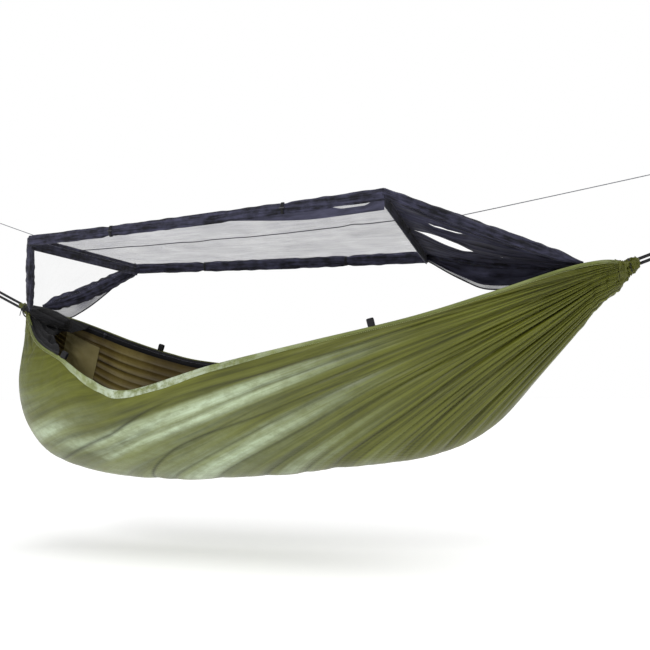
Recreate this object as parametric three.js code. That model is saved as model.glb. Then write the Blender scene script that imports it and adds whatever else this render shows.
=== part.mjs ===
// Camping hammock with a mosquito net, hung between two supports.
//
// Millimetres, +Z up. +X runs along the hammock from the left (upright net end) to the right (sloping
// net end), -Y is the front side, +Y the back side. The origin is the middle of the hang line, the level
// line between the two carabiners, about which the hammock swings.
//
// Cloth is drawn as thin closed solids that follow one shape, bodyPoint(), so that the two base layers,
// the hems, the zip tapes and the pocket lie on each other with a small gap.

import * as THREE from "three";

// ---------------------------------------------------------------------------------------------------
// Driving dimensions
// ---------------------------------------------------------------------------------------------------

// Each gathered end, from the left gather's height: where it is, and the level distance from it to the
// suspension cord's turn in its carabiner. side is -1 at the left end and 1 at the right.
const LEFT_END = { name: "left", side: -1, gatherX: -1125, gatherZ: 0, run: 282 };
const RIGHT_END = { name: "right", side: 1, gatherX: 1088, gatherZ: 54, run: 237 };
const HANG_LEVEL = 137.5; // of both turns
const HANG_MIDDLE_X = (LEFT_END.gatherX - LEFT_END.run + RIGHT_END.gatherX + RIGHT_END.run) / 2;

const CLOTH = 2; // thickness that stands for one layer of cloth
const SKIN_GAP = 1; // gap between cloths that lie on each other
const HEM_HEIGHT = 16;
const TAPE_HEIGHT = 30;
const NET_THICKNESS = 2;

const ROD_DIAMETER = 6;
const ROD_OVERHANG = 7; // how far a rod stands out of each end of its sleeve
const SLEEVE_HEIGHT = 36;
const SLEEVE_THICKNESS = 11;
const ROOF_HALF_WIDTH = 352;
const LEFT_ROD = { x: -850, z: 211, tilt: 0 };
const RIGHT_ROD = { x: 400, z: 231, tilt: THREE.MathUtils.degToRad(-6.8) };
const ROLL_HEIGHT = 38;
const ROLL_THICKNESS = 15;
const ROOF_INSET = 11; // from the rods and the door rolls to the roof's own edge

const CHANNEL_TIP = 34; // from a gather to the end of its puffed cloth

const SUSPENSION_CORD = 10;
const STRAND_OFFSET = 7.5; // from the middle of the doubled cord to each strand, at the gather
const EYE_RADIUS = 16; // of the cord's turn in the carabiner
const TURN_CLEARANCE = 1.2; // between the turn and the carabiner's bow, so that the cord can swing
const LASHING = { inner: 23, outer: 26.5, half: 4, chamfer: 1, at: 0.35 };
const ELASTIC_CORD = 3;
const LEFT_ELASTIC = { angle: THREE.MathUtils.degToRad(19.9), length: 500 };
const RIGHT_ELASTIC = { angle: THREE.MathUtils.degToRad(8.2), length: 860 };

// The hammock's shape at rest, one row for each station along it: the rims' x, the keel's x, half the
// width at the front rim and at the back rim, the height of the front rim, the back rim and the keel
// (from the left gather), and how much the sides belly out between rim and keel.
const STATIONS = [
  [-1125, -1125, 18, 18, 8, 8, -24, 0],
  [-1075, -1120, 55, 55, -52, -6, -200, 0.24],
  [-1000, -1095, 125, 110, -112, -30, -360, 0.28],
  [-915, -1030, 185, 165, -156, -67, -490, 0.24],
  [-800, -910, 230, 220, -205, -118, -585, 0.17],
  [-660, -720, 270, 265, -278, -168, -628, 0.1],
  [-500, -500, 297, 300, -319, -207, -640, 0.05],
  [-180, -180, 325, 325, -242, -235, -622, 0],
  [130, 130, 310, 310, -176, -205, -588, 0],
  [450, 450, 260, 260, -105, -135, -548, 0],
  [675, 675, 200, 200, -37, -60, -435, 0],
  [900, 900, 115, 115, 40, 30, -190, 0],
  [1020, 1020, 62, 62, 68, 68, -48, 0],
  [1088, 1088, 19, 19, 66, 66, 34, 0],
];
const LAST_STATION = STATIONS.length - 1;
const CLOTH_START = 0.6; // stations where the base cloth begins and ends; the end channels go on from it
const CLOTH_END = 12.45;
const LENGTH_STEPS = 28;
const GIRTH_STEPS = 14;
const POCKET_COLUMNS = { first: 3, last: 6 };

// ---------------------------------------------------------------------------------------------------
// Materials
// ---------------------------------------------------------------------------------------------------

const COLOURS = {
  olive: 0x68702d,
  innerOlive: 0x5c4e23,
  net: 0x30303e,
  zip: 0x1d1e22,
  cord: 0x17181a,
  elastic: 0x4a4c50,
  rod: 0x2b2c2e,
  metal: 0x9b9da0,
};

function material(colour, roughness = 0.85, metalness = 0) {
  return new THREE.MeshStandardMaterial({ color: COLOURS[colour], roughness, metalness });
}

// ---------------------------------------------------------------------------------------------------
// Building blocks
// ---------------------------------------------------------------------------------------------------

const vector = (x, y, z) => new THREE.Vector3(x, y, z);
const lerp = THREE.MathUtils.lerp;

function signedVolume(positions, triangles) {
  let volume = 0;
  for (let i = 0; i < triangles.length; i += 3) {
    const [a, b, c] = [0, 1, 2].map((k) => positions[triangles[i + k]]);
    volume += a.dot(b.clone().cross(c)) / 6;
  }
  return volume;
}

// A closed mesh from its corners and triangles, turned so that its faces point out.
function closedGeometry(positions, triangles) {
  const middle = positions.reduce((sum, p) => sum.add(p), vector(0, 0, 0)).divideScalar(positions.length);
  const centred = positions.map((p) => p.clone().sub(middle));
  const faces = triangles.slice();
  if (signedVolume(centred, triangles) < 0) {
    for (let i = 0; i < faces.length; i += 3) [faces[i], faces[i + 1]] = [faces[i + 1], faces[i]];
  }
  const geometry = new THREE.BufferGeometry().setFromPoints(positions);
  geometry.setIndex(faces);
  geometry.computeVertexNormals();
  return geometry;
}

// A thin closed solid between two grids of points with the same rows and columns.
function sheetBetween(upper, lower) {
  const rows = upper.length;
  const columns = upper[0].length;
  const positions = [...upper.flat(), ...lower.flat()];
  const below = rows * columns;
  const at = (row, column) => row * columns + column;
  const triangles = [];
  const quad = (a, b, c, d) => triangles.push(a, b, c, a, c, d);
  for (let row = 0; row < rows - 1; row++) {
    for (let column = 0; column < columns - 1; column++) {
      const corners = [at(row, column), at(row + 1, column), at(row + 1, column + 1), at(row, column + 1)];
      quad(...corners);
      const [a, b, c, d] = corners.map((corner) => corner + below);
      triangles.push(a, c, b, a, d, c);
    }
  }
  const border = [];
  for (let row = 0; row < rows - 1; row++) border.push(at(row, 0));
  for (let column = 0; column < columns - 1; column++) border.push(at(rows - 1, column));
  for (let row = rows - 1; row > 0; row--) border.push(at(row, columns - 1));
  for (let column = columns - 1; column > 0; column--) border.push(at(0, column));
  border.forEach((corner, i) => {
    const next = border[(i + 1) % border.length];
    quad(next, corner, corner + below, next + below);
  });
  return closedGeometry(positions, triangles);
}

// A closed solid through rings of points, with a fan over each end.
function loft(rings) {
  const count = rings[0].length;
  const positions = rings.flat();
  const triangles = [];
  for (let ring = 0; ring < rings.length - 1; ring++) {
    for (let i = 0; i < count; i++) {
      const a = ring * count + i;
      const b = ring * count + ((i + 1) % count);
      triangles.push(a, b, b + count, a, b + count, a + count);
    }
  }
  const cap = (ring, flip) => {
    const middle = rings[ring].reduce((sum, p) => sum.add(p), vector(0, 0, 0)).divideScalar(count);
    const centre = positions.push(middle) - 1;
    for (let i = 0; i < count; i++) {
      const a = ring * count + i;
      const b = ring * count + ((i + 1) % count);
      triangles.push(...(flip ? [centre, b, a] : [centre, a, b]));
    }
  };
  cap(0, true);
  cap(rings.length - 1, false);
  return closedGeometry(positions, triangles);
}

// A sheet of even thickness through four corners: a and b on one edge, d and c on the opposite one.
function panel([a, b, c, d], thickness, columns, rows, sag = 0) {
  const normal = b.clone().sub(a).cross(d.clone().sub(a)).normalize();
  const grid = (offset) =>
    Array.from({ length: rows + 1 }, (_, row) =>
      Array.from({ length: columns + 1 }, (_, column) => {
        const u = column / columns;
        const v = row / rows;
        const point = a.clone().lerp(b, u).lerp(d.clone().lerp(c, u), v);
        point.z -= sag * Math.sin(Math.PI * u) * Math.sin(Math.PI * v);
        return point.addScaledVector(normal, offset);
      }),
    );
  return sheetBetween(grid(thickness / 2), grid(-thickness / 2));
}

// The corners of a panel moved in from the edges of a larger one, each edge by its own distance.
function insetCorners([a, b, c, d], fromA, fromB, fromAB, fromDC) {
  const along = (p, q, distance) => p.clone().add(q.clone().sub(p).setLength(distance));
  const [a1, b1, c1, d1] = [along(a, b, fromA), along(b, a, fromB), along(c, d, fromB), along(d, c, fromA)];
  return [along(a1, d1, fromAB), along(b1, c1, fromAB), along(c1, b1, fromDC), along(d1, a1, fromDC)];
}

function roundSection(diameter, sides) {
  const corners = Array.from({ length: sides }, (_, i) => {
    const angle = (2 * Math.PI * (i + 0.5)) / sides;
    return new THREE.Vector2(Math.cos(angle), Math.sin(angle)).multiplyScalar(diameter / 2);
  });
  return new THREE.Shape(corners);
}

// A solid tube along a smooth line through points.
function tube(points, diameter, sides, steps) {
  const path = new THREE.CatmullRomCurve3(points, false, "centripetal");
  return new THREE.ExtrudeGeometry(roundSection(diameter, sides), { steps, extrudePath: path });
}

// An oval roll of cloth along a line of points: an upright ellipse at each point.
function roll(points, height, thickness) {
  const sides = 10;
  const rings = points.map((middle) =>
    Array.from({ length: sides }, (_, i) => {
      const angle = (2 * Math.PI * i) / sides;
      const [out, up] = [(thickness / 2) * Math.cos(angle), (height / 2) * Math.sin(angle)];
      return middle.clone().add(vector(0, out, up));
    }),
  );
  return loft(rings);
}

// A line from one point to another with its middle hanging lower.
function saggingLine(from, to, sag, steps) {
  return Array.from({ length: steps + 1 }, (_, step) => {
    const point = from.clone().lerp(to, step / steps);
    point.z -= sag * Math.sin((Math.PI * step) / steps);
    return point;
  });
}

// ---------------------------------------------------------------------------------------------------
// The hammock's shape
// ---------------------------------------------------------------------------------------------------

// A station row at any place along the hammock, smooth through the rows of the table.
function stationAt(place) {
  const first = Math.min(Math.max(Math.floor(place), 0), LAST_STATION - 1);
  const t = place - first;
  const row = (i) => STATIONS[Math.min(Math.max(i, 0), LAST_STATION)];
  const [before, a, b, after] = [row(first - 1), row(first), row(first + 1), row(first + 2)];
  return a.map((_, i) => {
    const slopeA = (b[i] - before[i]) / 2;
    const slopeB = (after[i] - a[i]) / 2;
    const bend = (2 * t ** 3 - 3 * t ** 2 + 1) * a[i] + (3 * t ** 2 - 2 * t ** 3) * b[i];
    return bend + (t ** 3 - 2 * t ** 2 + t) * slopeA + (t ** 3 - t ** 2) * slopeB;
  });
}

// A point of the base cloth. girth runs from -1 at the front rim through 0 at the keel to 1 at the back.
function bodyPoint(place, girth) {
  const [rimX, keelX, frontHalf, backHalf, frontZ, backZ, keelZ, belly] = stationAt(place);
  const angle = (Math.abs(girth) * Math.PI) / 2;
  const climb = 1 - Math.cos(angle);
  const half = girth < 0 ? frontHalf : backHalf;
  const rimZ = girth < 0 ? frontZ : backZ;
  const reach = half * (Math.sin(angle) + belly * Math.sin(2 * angle));
  return vector(lerp(keelX, rimX, climb), Math.sign(girth) * reach, lerp(keelZ, rimZ, climb));
}

// The direction that points out of the hammock at a point of its cloth.
function bodyNormal(place, girth) {
  const small = 0.01;
  const side = Math.min(girth + small, 1);
  const across = bodyPoint(place, side).sub(bodyPoint(place, side - small));
  const along = bodyPoint(place + small, girth).sub(bodyPoint(place - small, girth));
  return across.cross(along).normalize();
}

const placeOf = (column) => lerp(CLOTH_START, CLOTH_END, column / LENGTH_STEPS);
const girthOf = (row) => (2 * row) / GIRTH_STEPS - 1;

// A point at the given depth inside the cloth's outer face, on the flat facets between grid points.
function facetPoint(column, girth, depth) {
  const position = ((girth + 1) / 2) * GIRTH_STEPS;
  const row = Math.min(Math.floor(position), GIRTH_STEPS - 1);
  const corner = (r) => {
    const normal = bodyNormal(placeOf(column), girthOf(r));
    return bodyPoint(placeOf(column), girthOf(r)).addScaledVector(normal, -depth);
  };
  return corner(row).lerp(corner(row + 1), position - row);
}

// A strip of cloth on the hammock: from one column to another, between two girths at each column.
function bodyStrip(firstColumn, lastColumn, girths, depth, thickness) {
  const grid = (level) =>
    Array.from({ length: lastColumn - firstColumn + 1 }, (_, i) => {
      const column = firstColumn + i;
      return girths(column).map((girth) => facetPoint(column, girth, level));
    });
  return sheetBetween(grid(depth), grid(depth + thickness));
}

// The girth that lies a given height below a rim.
function girthBelowRim(column, side, height) {
  const [, , , , frontZ, backZ, keelZ] = stationAt(placeOf(column));
  const wall = ((side < 0 ? frontZ : backZ) - keelZ) * (Math.PI / 2);
  return side * (1 - height / wall);
}

const gatherOf = (end) => vector(end.gatherX, 0, end.gatherZ);
const suspensionAngle = (end) => Math.atan2(HANG_LEVEL - end.gatherZ, end.run);

// The way that a suspension cord leaves its gather.
function suspensionDirection(end) {
  const angle = suspensionAngle(end);
  return vector(end.side * Math.cos(angle), 0, Math.sin(angle));
}

function channelTip(end) {
  return gatherOf(end).addScaledVector(suspensionDirection(end), CHANNEL_TIP);
}

const INNER_LAYER_DEPTH = CLOTH + SKIN_GAP;
const LINING_DEPTH = INNER_LAYER_DEPTH + CLOTH + SKIN_GAP; // of what lies on the inner layer
const SLIDER_DEPTH = LINING_DEPTH + CLOTH + SKIN_GAP; // of what lies on the zip tape

function baseLayer(depth) {
  const girths = Array.from({ length: GIRTH_STEPS + 1 }, (_, row) => girthOf(row));
  return bodyStrip(0, LENGTH_STEPS, () => girths, depth, CLOTH);
}

function rimStrip(side, height, depth) {
  const girths = (column) => [side, girthBelowRim(column, side, height)];
  return bodyStrip(0, LENGTH_STEPS, girths, depth, CLOTH);
}

// The lining pocket on the back wall, at the left end.
function pocket() {
  const girths = () => [0.66, 0.74, 0.82, 0.9];
  return bodyStrip(POCKET_COLUMNS.first, POCKET_COLUMNS.last, girths, LINING_DEPTH, CLOTH);
}

// The middle of the base's last section at an end, where the gathered neck begins.
function sectionMiddle(place) {
  const ring = endSection(place);
  return ring.reduce((sum, p) => sum.add(p), vector(0, 0, 0)).divideScalar(ring.length);
}

function endSection(place) {
  return Array.from({ length: 13 }, (_, i) => bodyPoint(place, lerp(-1, 1, i / 12)));
}

// The gathered cloth at an end: the base's section closed across the top, drawn in to a neck for the
// lashing, and a puffed tip beyond it.
function endChannel(places, tip) {
  const rings = places.map(endSection);
  const last = rings[rings.length - 1];
  const middle = sectionMiddle(places[places.length - 1]);
  for (const [along, size] of [[0.2, 0.78], [0.5, 0.78], [0.75, 1.1], [1, 0.7]]) {
    const centre = middle.clone().lerp(tip, along);
    rings.push(last.map((p) => p.clone().sub(middle).multiplyScalar(size).add(centre)));
  }
  return loft(rings);
}

// The bunched net at the left end, a soft lump between the rims.
function netSkirt() {
  const rings = Array.from({ length: 7 }, (_, ring) => {
    const along = ring / 6;
    const size = 0.35 + 0.65 * Math.sin(Math.PI * (0.12 + 0.76 * along));
    const middle = vector(lerp(-1062, -950, along), lerp(4, 12, along), lerp(-14, -62, along));
    return Array.from({ length: 12 }, (_, i) => {
      const angle = (2 * Math.PI * i) / 12;
      return middle.clone().add(vector(0, 46 * size * Math.cos(angle), 32 * size * Math.sin(angle)));
    });
  });
  return loft(rings);
}

// ---------------------------------------------------------------------------------------------------
// The net and its rods
// ---------------------------------------------------------------------------------------------------

// The end of a rod on the given side (-1 front, 1 back), or a point part of the way to it.
function rodPoint(rod, side, distance = ROOF_HALF_WIDTH) {
  const reach = side * distance;
  return vector(rod.x, reach * Math.cos(rod.tilt), rod.z + reach * Math.sin(rod.tilt));
}

const CORNER = {
  frontLeft: rodPoint(LEFT_ROD, -1),
  backLeft: rodPoint(LEFT_ROD, 1),
  frontRight: rodPoint(RIGHT_ROD, -1),
  backRight: rodPoint(RIGHT_ROD, 1),
};

// A point of a rolled door's middle line, which hangs just under the roof's long edge.
function rollPoint(from, to, share) {
  const point = from.clone().lerp(to, share);
  const edgeInset = 14;
  point.x += lerp(edgeInset, -edgeInset, share);
  point.z -= 12 + 4 * Math.sin(Math.PI * share);
  return point;
}

// Turns and moves a piece drawn along Y, at the origin, onto its rod.
function alongRod(mesh, rod) {
  mesh.position.set(rod.x, 0, rod.z);
  mesh.rotation.set(rod.tilt, 0, 0);
  return mesh;
}

function rodGeometry() {
  const length = 2 * ROOF_HALF_WIDTH;
  return new THREE.CylinderGeometry(ROD_DIAMETER / 2, ROD_DIAMETER / 2, length, 10);
}

// A flat sleeve with the rod's channel along its top edge. Drawn in the X-Z plane, extruded along Y.
function sleeveGeometry() {
  const half = SLEEVE_THICKNESS / 2;
  const shape = new THREE.Shape();
  shape.moveTo(-half, 0);
  shape.absarc(0, 0, half, Math.PI, 0, true);
  shape.lineTo(2, half - SLEEVE_HEIGHT);
  shape.lineTo(-2, half - SLEEVE_HEIGHT);
  shape.closePath();
  const hole = new THREE.Path();
  hole.absarc(0, 0, ROD_DIAMETER / 2 + 0.6, 0, 2 * Math.PI, false);
  shape.holes.push(hole);
  const length = 2 * (ROOF_HALF_WIDTH - ROD_OVERHANG);
  const settings = { depth: length, steps: 1, bevelEnabled: false, curveSegments: 5 };
  const geometry = new THREE.ExtrudeGeometry(shape, settings);
  geometry.translate(0, 0, -length / 2);
  geometry.rotateX(Math.PI / 2);
  return geometry;
}

// The cloth tab under the middle of a rod's sleeve that the elastic cord is tied to.
function cordTabGeometry() {
  return new THREE.BoxGeometry(3, 20, 26);
}

// ---------------------------------------------------------------------------------------------------
// Cords and metalwork
// ---------------------------------------------------------------------------------------------------

// How far it is along a suspension cord from the gather to the cord's turn.
const suspensionReach = (end) => end.run / Math.cos(suspensionAngle(end));

// One doubled suspension cord: out of the gather, round the carabiner and back.
function suspensionPoints(end) {
  const direction = suspensionDirection(end);
  const across = vector(-direction.z * end.side, 0, direction.x * end.side);
  const reach = suspensionReach(end);
  const point = (along, offset) =>
    gatherOf(end).addScaledVector(direction, along).addScaledVector(across, offset);
  const strand = [
    [CHANNEL_TIP + SUSPENSION_CORD, STRAND_OFFSET],
    [reach * 0.35, STRAND_OFFSET],
    [reach * 0.6, STRAND_OFFSET + 1],
    [reach * 0.8, EYE_RADIUS - 2],
  ];
  const turn = Array.from({ length: 7 }, (_, i) => {
    const angle = lerp(Math.PI / 2, -Math.PI / 2, i / 6);
    return [reach - EYE_RADIUS + EYE_RADIUS * Math.cos(angle), EYE_RADIUS * Math.sin(angle)];
  });
  const back = strand.map(([along, offset]) => [along, -offset]).reverse();
  return [...strand, ...turn, ...back].map(([along, offset]) => point(along, offset));
}

// The carabiner's ring lies across the cord's turn: length along the cord, width across it.
const CARABINER = { length: 78, width: 40, wire: 8, bearingLand: 14 };
const GATE = { hingeAt: 19, noseAt: 55, wire: 5, pin: 2.6, clearance: 0.4 };

// The open ring of the carabiner in its own X-Y plane, from the gate's hinge round to its nose.
// The cord's bow is at the origin and the far bow, which bears on what holds the hammock up, is at +X.
function carabinerPath() {
  const radius = (CARABINER.width - CARABINER.wire) / 2;
  const far = CARABINER.length - CARABINER.wire;
  const land = CARABINER.bearingLand / 2;
  const corner = radius - land;
  const points = [vector(GATE.hingeAt, radius, 0)];
  for (let i = 0; i <= 6; i++) {
    const angle = Math.PI / 2 + (Math.PI * i) / 6;
    points.push(vector(radius + radius * Math.cos(angle), radius * Math.sin(angle), 0));
  }
  for (const step of [0, 0.5, 1]) {
    const angle = (-Math.PI / 2) * (1 - step);
    points.push(vector(far - corner + corner * Math.cos(angle), -land + corner * Math.sin(angle), 0));
  }
  points.push(vector(far, -land / 3, 0), vector(far, land / 3, 0));
  for (const step of [0, 0.5, 1]) {
    const angle = (Math.PI / 2) * step;
    points.push(vector(far - corner + corner * Math.cos(angle), land + corner * Math.sin(angle), 0));
  }
  points.push(vector(GATE.noseAt, radius, 0));
  return points;
}

// A straight gate between the hinge pin and the nose, with a little clearance at both ends.
function gateGeometry() {
  const from = GATE.hingeAt + GATE.pin + GATE.clearance;
  const length = GATE.noseAt - GATE.clearance - from;
  const geometry = new THREE.CylinderGeometry(GATE.wire / 2, GATE.wire / 2, length, 8);
  geometry.rotateZ(Math.PI / 2);
  geometry.translate(from + length / 2, (CARABINER.width - CARABINER.wire) / 2, 0);
  return geometry;
}

function gatePinGeometry() {
  const geometry = new THREE.CylinderGeometry(GATE.pin / 2, GATE.pin / 2, CARABINER.wire + 1, 10);
  geometry.rotateX(Math.PI / 2);
  const radius = (CARABINER.width - CARABINER.wire) / 2;
  geometry.translate(GATE.hingeAt + GATE.pin / 2 + GATE.clearance / 2, radius, 0);
  return geometry;
}

// The cord turns that close a gathered end, as one ring around its neck.
function lashingGeometry() {
  const { inner, outer, half, chamfer } = LASHING;
  const lower = [[inner, -half], [outer - chamfer, -half], [outer, chamfer - half]];
  const profile = [...lower, ...lower.map(([radius, height]) => [radius, -height]).reverse()];
  const points = [...profile, profile[0]].map(([radius, height]) => new THREE.Vector2(radius, height));
  const geometry = new THREE.LatheGeometry(points, 20);
  geometry.rotateZ(Math.PI / 2);
  return geometry;
}

function elasticEnds(rod, settings, side) {
  const start = vector(rod.x + side * (SLEEVE_THICKNESS / 2 + 2.5), 0, rod.z - 2);
  const direction = vector(side * Math.cos(settings.angle), 0, Math.sin(settings.angle));
  return { start, direction, end: start.clone().addScaledVector(direction, settings.length) };
}

function elasticPoints({ start, direction }, length) {
  return [0, 0.3, 0.6, 1].map((share) => start.clone().addScaledVector(direction, share * length));
}

// An open hook drawn in the X-Z plane, its shank at the origin and its bend away along +X.
function hookPoints() {
  const points = [vector(0, 0, 0), vector(10, 0, 0), vector(20, 0, 0)];
  for (let i = 1; i <= 6; i++) {
    const angle = lerp(Math.PI / 2, -Math.PI * 0.62, i / 6);
    points.push(vector(24 + 9 * Math.cos(angle), 0, -9 + 9 * Math.sin(angle)));
  }
  return points;
}

// A folded loop of flat webbing that stands on a rim: its face looks out sideways and it is open along X.
const LOOP_WIDTH = 22;
const LOOP_TOP = 23.6; // the underside of its bend, above its foot

function tieOutLoopGeometry() {
  const shape = new THREE.Shape();
  shape.moveTo(-6, 0);
  shape.lineTo(6, 0);
  shape.lineTo(7, 20);
  shape.lineTo(4, LOOP_TOP + 2);
  shape.lineTo(-4, LOOP_TOP + 2);
  shape.lineTo(-7, 20);
  shape.closePath();
  const hole = new THREE.Path();
  hole.moveTo(-4, 2);
  hole.lineTo(-5, 19);
  hole.lineTo(-3, LOOP_TOP);
  hole.lineTo(3, LOOP_TOP);
  hole.lineTo(5, 19);
  hole.lineTo(4, 2);
  hole.closePath();
  shape.holes.push(hole);
  const geometry = new THREE.ExtrudeGeometry(shape, { depth: LOOP_WIDTH, steps: 1, bevelEnabled: false });
  geometry.translate(0, 0, -LOOP_WIDTH / 2);
  geometry.rotateX(Math.PI / 2);
  geometry.rotateZ(Math.PI / 2);
  return geometry;
}

// ---------------------------------------------------------------------------------------------------
// Assembly
// ---------------------------------------------------------------------------------------------------

const hammock = new THREE.Group();
const placed = new THREE.Group();
placed.position.set(-HANG_MIDDLE_X, 0, -HANG_LEVEL);
hammock.add(placed);

function add(name, geometry, finish) {
  const mesh = new THREE.Mesh(geometry, finish);
  mesh.name = name;
  placed.add(mesh);
  return mesh;
}

function addBase() {
  add("base_outer_layer", baseLayer(0), material("olive", 0.6));
  add("base_inner_layer", baseLayer(INNER_LAYER_DEPTH), material("innerOlive", 0.7));
  for (const [name, side] of [["front", -1], ["back", 1]]) {
    add(`${name}_hem`, rimStrip(side, HEM_HEIGHT, -SKIN_GAP - CLOTH), material("olive", 0.6));
    add(`${name}_zip_tape`, rimStrip(side, TAPE_HEIGHT, LINING_DEPTH), material("zip"));
  }
  add("inner_pocket", pocket(), material("innerOlive"));
  add("head_net_skirt", netSkirt(), material("net"));
  const leftPlaces = [CLOTH_START - 0.03, 0.4, 0.2, 0];
  const rightPlaces = [CLOTH_END + 0.03, 12.7, 12.85, LAST_STATION];
  add("end_channel_left", endChannel(leftPlaces, channelTip(LEFT_END)), material("olive", 0.7));
  add("end_channel_right", endChannel(rightPlaces, channelTip(RIGHT_END)), material("olive", 0.7));
}

function addTieOutLoops() {
  const places = { front_left: [8, -1], front_right: [19, -1], back_left: [10, 1], back_right: [25, 1] };
  for (const [name, [column, side]] of Object.entries(places)) {
    const rim = facetPoint(column, side, INNER_LAYER_DEPTH);
    const ahead = facetPoint(column + 1, side, INNER_LAYER_DEPTH);
    const loop = add(`tie_out_loop_${name}`, tieOutLoopGeometry(), material("zip"));
    loop.position.copy(rim).add(vector(0, 0, 1.5));
    loop.rotation.y = -Math.atan2(ahead.z - rim.z, ahead.x - rim.x);
  }
}

function addNet() {
  const { frontLeft, backLeft, frontRight, backRight } = CORNER;
  const net = (name, corners, columns, rows, sag) =>
    add(name, panel(corners, NET_THICKNESS, columns, rows, sag), material("net"));

  const roof = [frontLeft, frontRight, backRight, backLeft];
  net("net_roof", insetCorners(roof, ROOF_INSET, ROOF_INSET, ROOF_INSET, ROOF_INSET), 12, 6, 8);

  const drop = vector(0, 0, SLEEVE_THICKNESS / 2 - SLEEVE_HEIGHT - 3);
  const leftFoot = [vector(-1096, 24, 8), vector(-1096, -24, 8)];
  const leftTop = [-1, 1].map((side) => rodPoint(LEFT_ROD, side, ROOF_HALF_WIDTH - 24).add(drop));
  net("end_net_left", [leftTop[0], leftTop[1], ...leftFoot], 6, 4, 0);
  const rightFoot = [vector(1000, 20, 84), vector(1000, -20, 84)];
  const rightTop = [-1, 1].map((side) => rodPoint(RIGHT_ROD, side, ROOF_HALF_WIDTH - 24).add(drop));
  net("end_net_right", [rightTop[0], rightTop[1], ...rightFoot], 6, 8, 14);

  for (const [name, from, to] of [["front", frontLeft, frontRight], ["back", backLeft, backRight]]) {
    const points = Array.from({ length: 9 }, (_, i) => rollPoint(from, to, i / 8));
    add(`${name}_door_roll`, roll(points, ROLL_HEIGHT, ROLL_THICKNESS), material("net"));
  }
}

function addSeamsAndFlaps() {
  const { frontLeft, backLeft, frontRight, backRight } = CORNER;
  const seams = {
    front_left: [frontLeft, vector(-1090, -40, -6), -1],
    back_left: [backLeft, vector(-1090, 40, 14), -1],
    front_right: [frontRight, vector(985, -42, 82), 1],
    back_right: [backRight, vector(985, 42, 82), 1],
  };
  for (const [name, [corner, foot, side]] of Object.entries(seams)) {
    const top = corner.clone().add(vector(side * 16, 0, -20));
    const line = saggingLine(top, foot, name.endsWith("right") ? 10 : 0, 8);
    add(`net_seam_${name}`, roll(line, 14, 8), material("net"));
  }
  const flap = (name, corners) =>
    add(`net_flap_${name}`, panel(corners, NET_THICKNESS, 6, 3, 0), material("net"));
  flap("back_left", [
    vector(-840, 352, 160), vector(-1060, 74, 2), vector(-975, 128, -28), vector(-822, 346, 140),
  ]);
  flap("front_left", [
    vector(-846, -352, 150), vector(-1066, -64, -20), vector(-1040, -84, -52), vector(-838, -346, 130),
  ]);
  flap("front_right", [
    vector(424, -340, 222), vector(1004, -62, 78), vector(930, -92, 62), vector(428, -330, 190),
  ]);
  flap("back_right", [
    vector(424, 350, 134), vector(896, 119, 88), vector(806, 160, 14), vector(430, 352, 112),
  ]);
}

// An elastic band that holds a rolled door, an oval ring around the roll.
function doorTieGeometry() {
  const oval = (grow) => {
    const path = new THREE.Path();
    path.absellipse(0, 0, ROLL_THICKNESS / 2 + grow, ROLL_HEIGHT / 2 + grow, 0, 2 * Math.PI, false, 0);
    return path.getSpacedPoints(16).slice(0, -1);
  };
  const shape = new THREE.Shape(oval(3));
  shape.holes.push(new THREE.Path(oval(1)));
  const width = 9;
  const geometry = new THREE.ExtrudeGeometry(shape, { depth: width, steps: 1, bevelEnabled: false });
  geometry.translate(0, 0, -width / 2);
  geometry.rotateY(Math.PI / 2);
  geometry.rotateX(Math.PI / 2);
  return geometry;
}

function addDoorTies() {
  const edges = { front: [CORNER.frontLeft, CORNER.frontRight], back: [CORNER.backLeft, CORNER.backRight] };
  for (const [door, [from, to]] of Object.entries(edges)) {
    for (const [name, share] of [["left", 0.25], ["right", 0.75]]) {
      const tie = add(`door_tie_${door}_${name}`, doorTieGeometry(), material("zip"));
      tie.position.copy(rollPoint(from, to, share));
      tie.rotation.y = -Math.atan2(to.z - from.z, to.x - from.x);
    }
  }
}

function addRods() {
  for (const [name, rod, side] of [["left", LEFT_ROD, -1], ["right", RIGHT_ROD, 1]]) {
    alongRod(add(`spreader_rod_${name}`, rodGeometry(), material("rod", 0.35)), rod);
    alongRod(add(`rod_sleeve_${name}`, sleeveGeometry(), material("net")), rod);
    const tab = add(`cord_tab_${name}`, cordTabGeometry(), material("zip"));
    tab.position.set(rod.x + side * (SLEEVE_THICKNESS / 2 + 2.2), 0, rod.z - 12);
  }
}

function addSuspension() {
  const steel = () => material("metal", 0.3, 0.9);
  for (const end of [LEFT_END, RIGHT_END]) {
    const { name } = end;
    add(`suspension_loop_${name}`, tube(suspensionPoints(end), SUSPENSION_CORD, 8, 44), material("cord"));
    const lashing = add(`gather_lashing_${name}`, lashingGeometry(), material("cord"));
    const middle = sectionMiddle(end.side < 0 ? 0 : LAST_STATION);
    lashing.position.copy(middle).lerp(channelTip(end), LASHING.at);

    // the ring's near bow sits inside the cord's turn
    const setBack = (SUSPENSION_CORD + CARABINER.wire) / 2 + TURN_CLEARANCE;
    const ring = new THREE.Group();
    const bow = suspensionReach(end) - setBack;
    ring.position.copy(gatherOf(end)).addScaledVector(suspensionDirection(end), bow);
    ring.rotation.y = end.side > 0 ? -suspensionAngle(end) : Math.PI + suspensionAngle(end);
    placed.add(ring);
    const pieces = {
      carabiner: tube(carabinerPath(), CARABINER.wire, 8, 46),
      carabiner_gate: gateGeometry(),
      gate_pin: gatePinGeometry(),
    };
    for (const [piece, geometry] of Object.entries(pieces)) {
      const mesh = new THREE.Mesh(geometry, steel());
      mesh.name = `${piece}_${name}`;
      ring.add(mesh);
    }
  }
}

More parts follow.
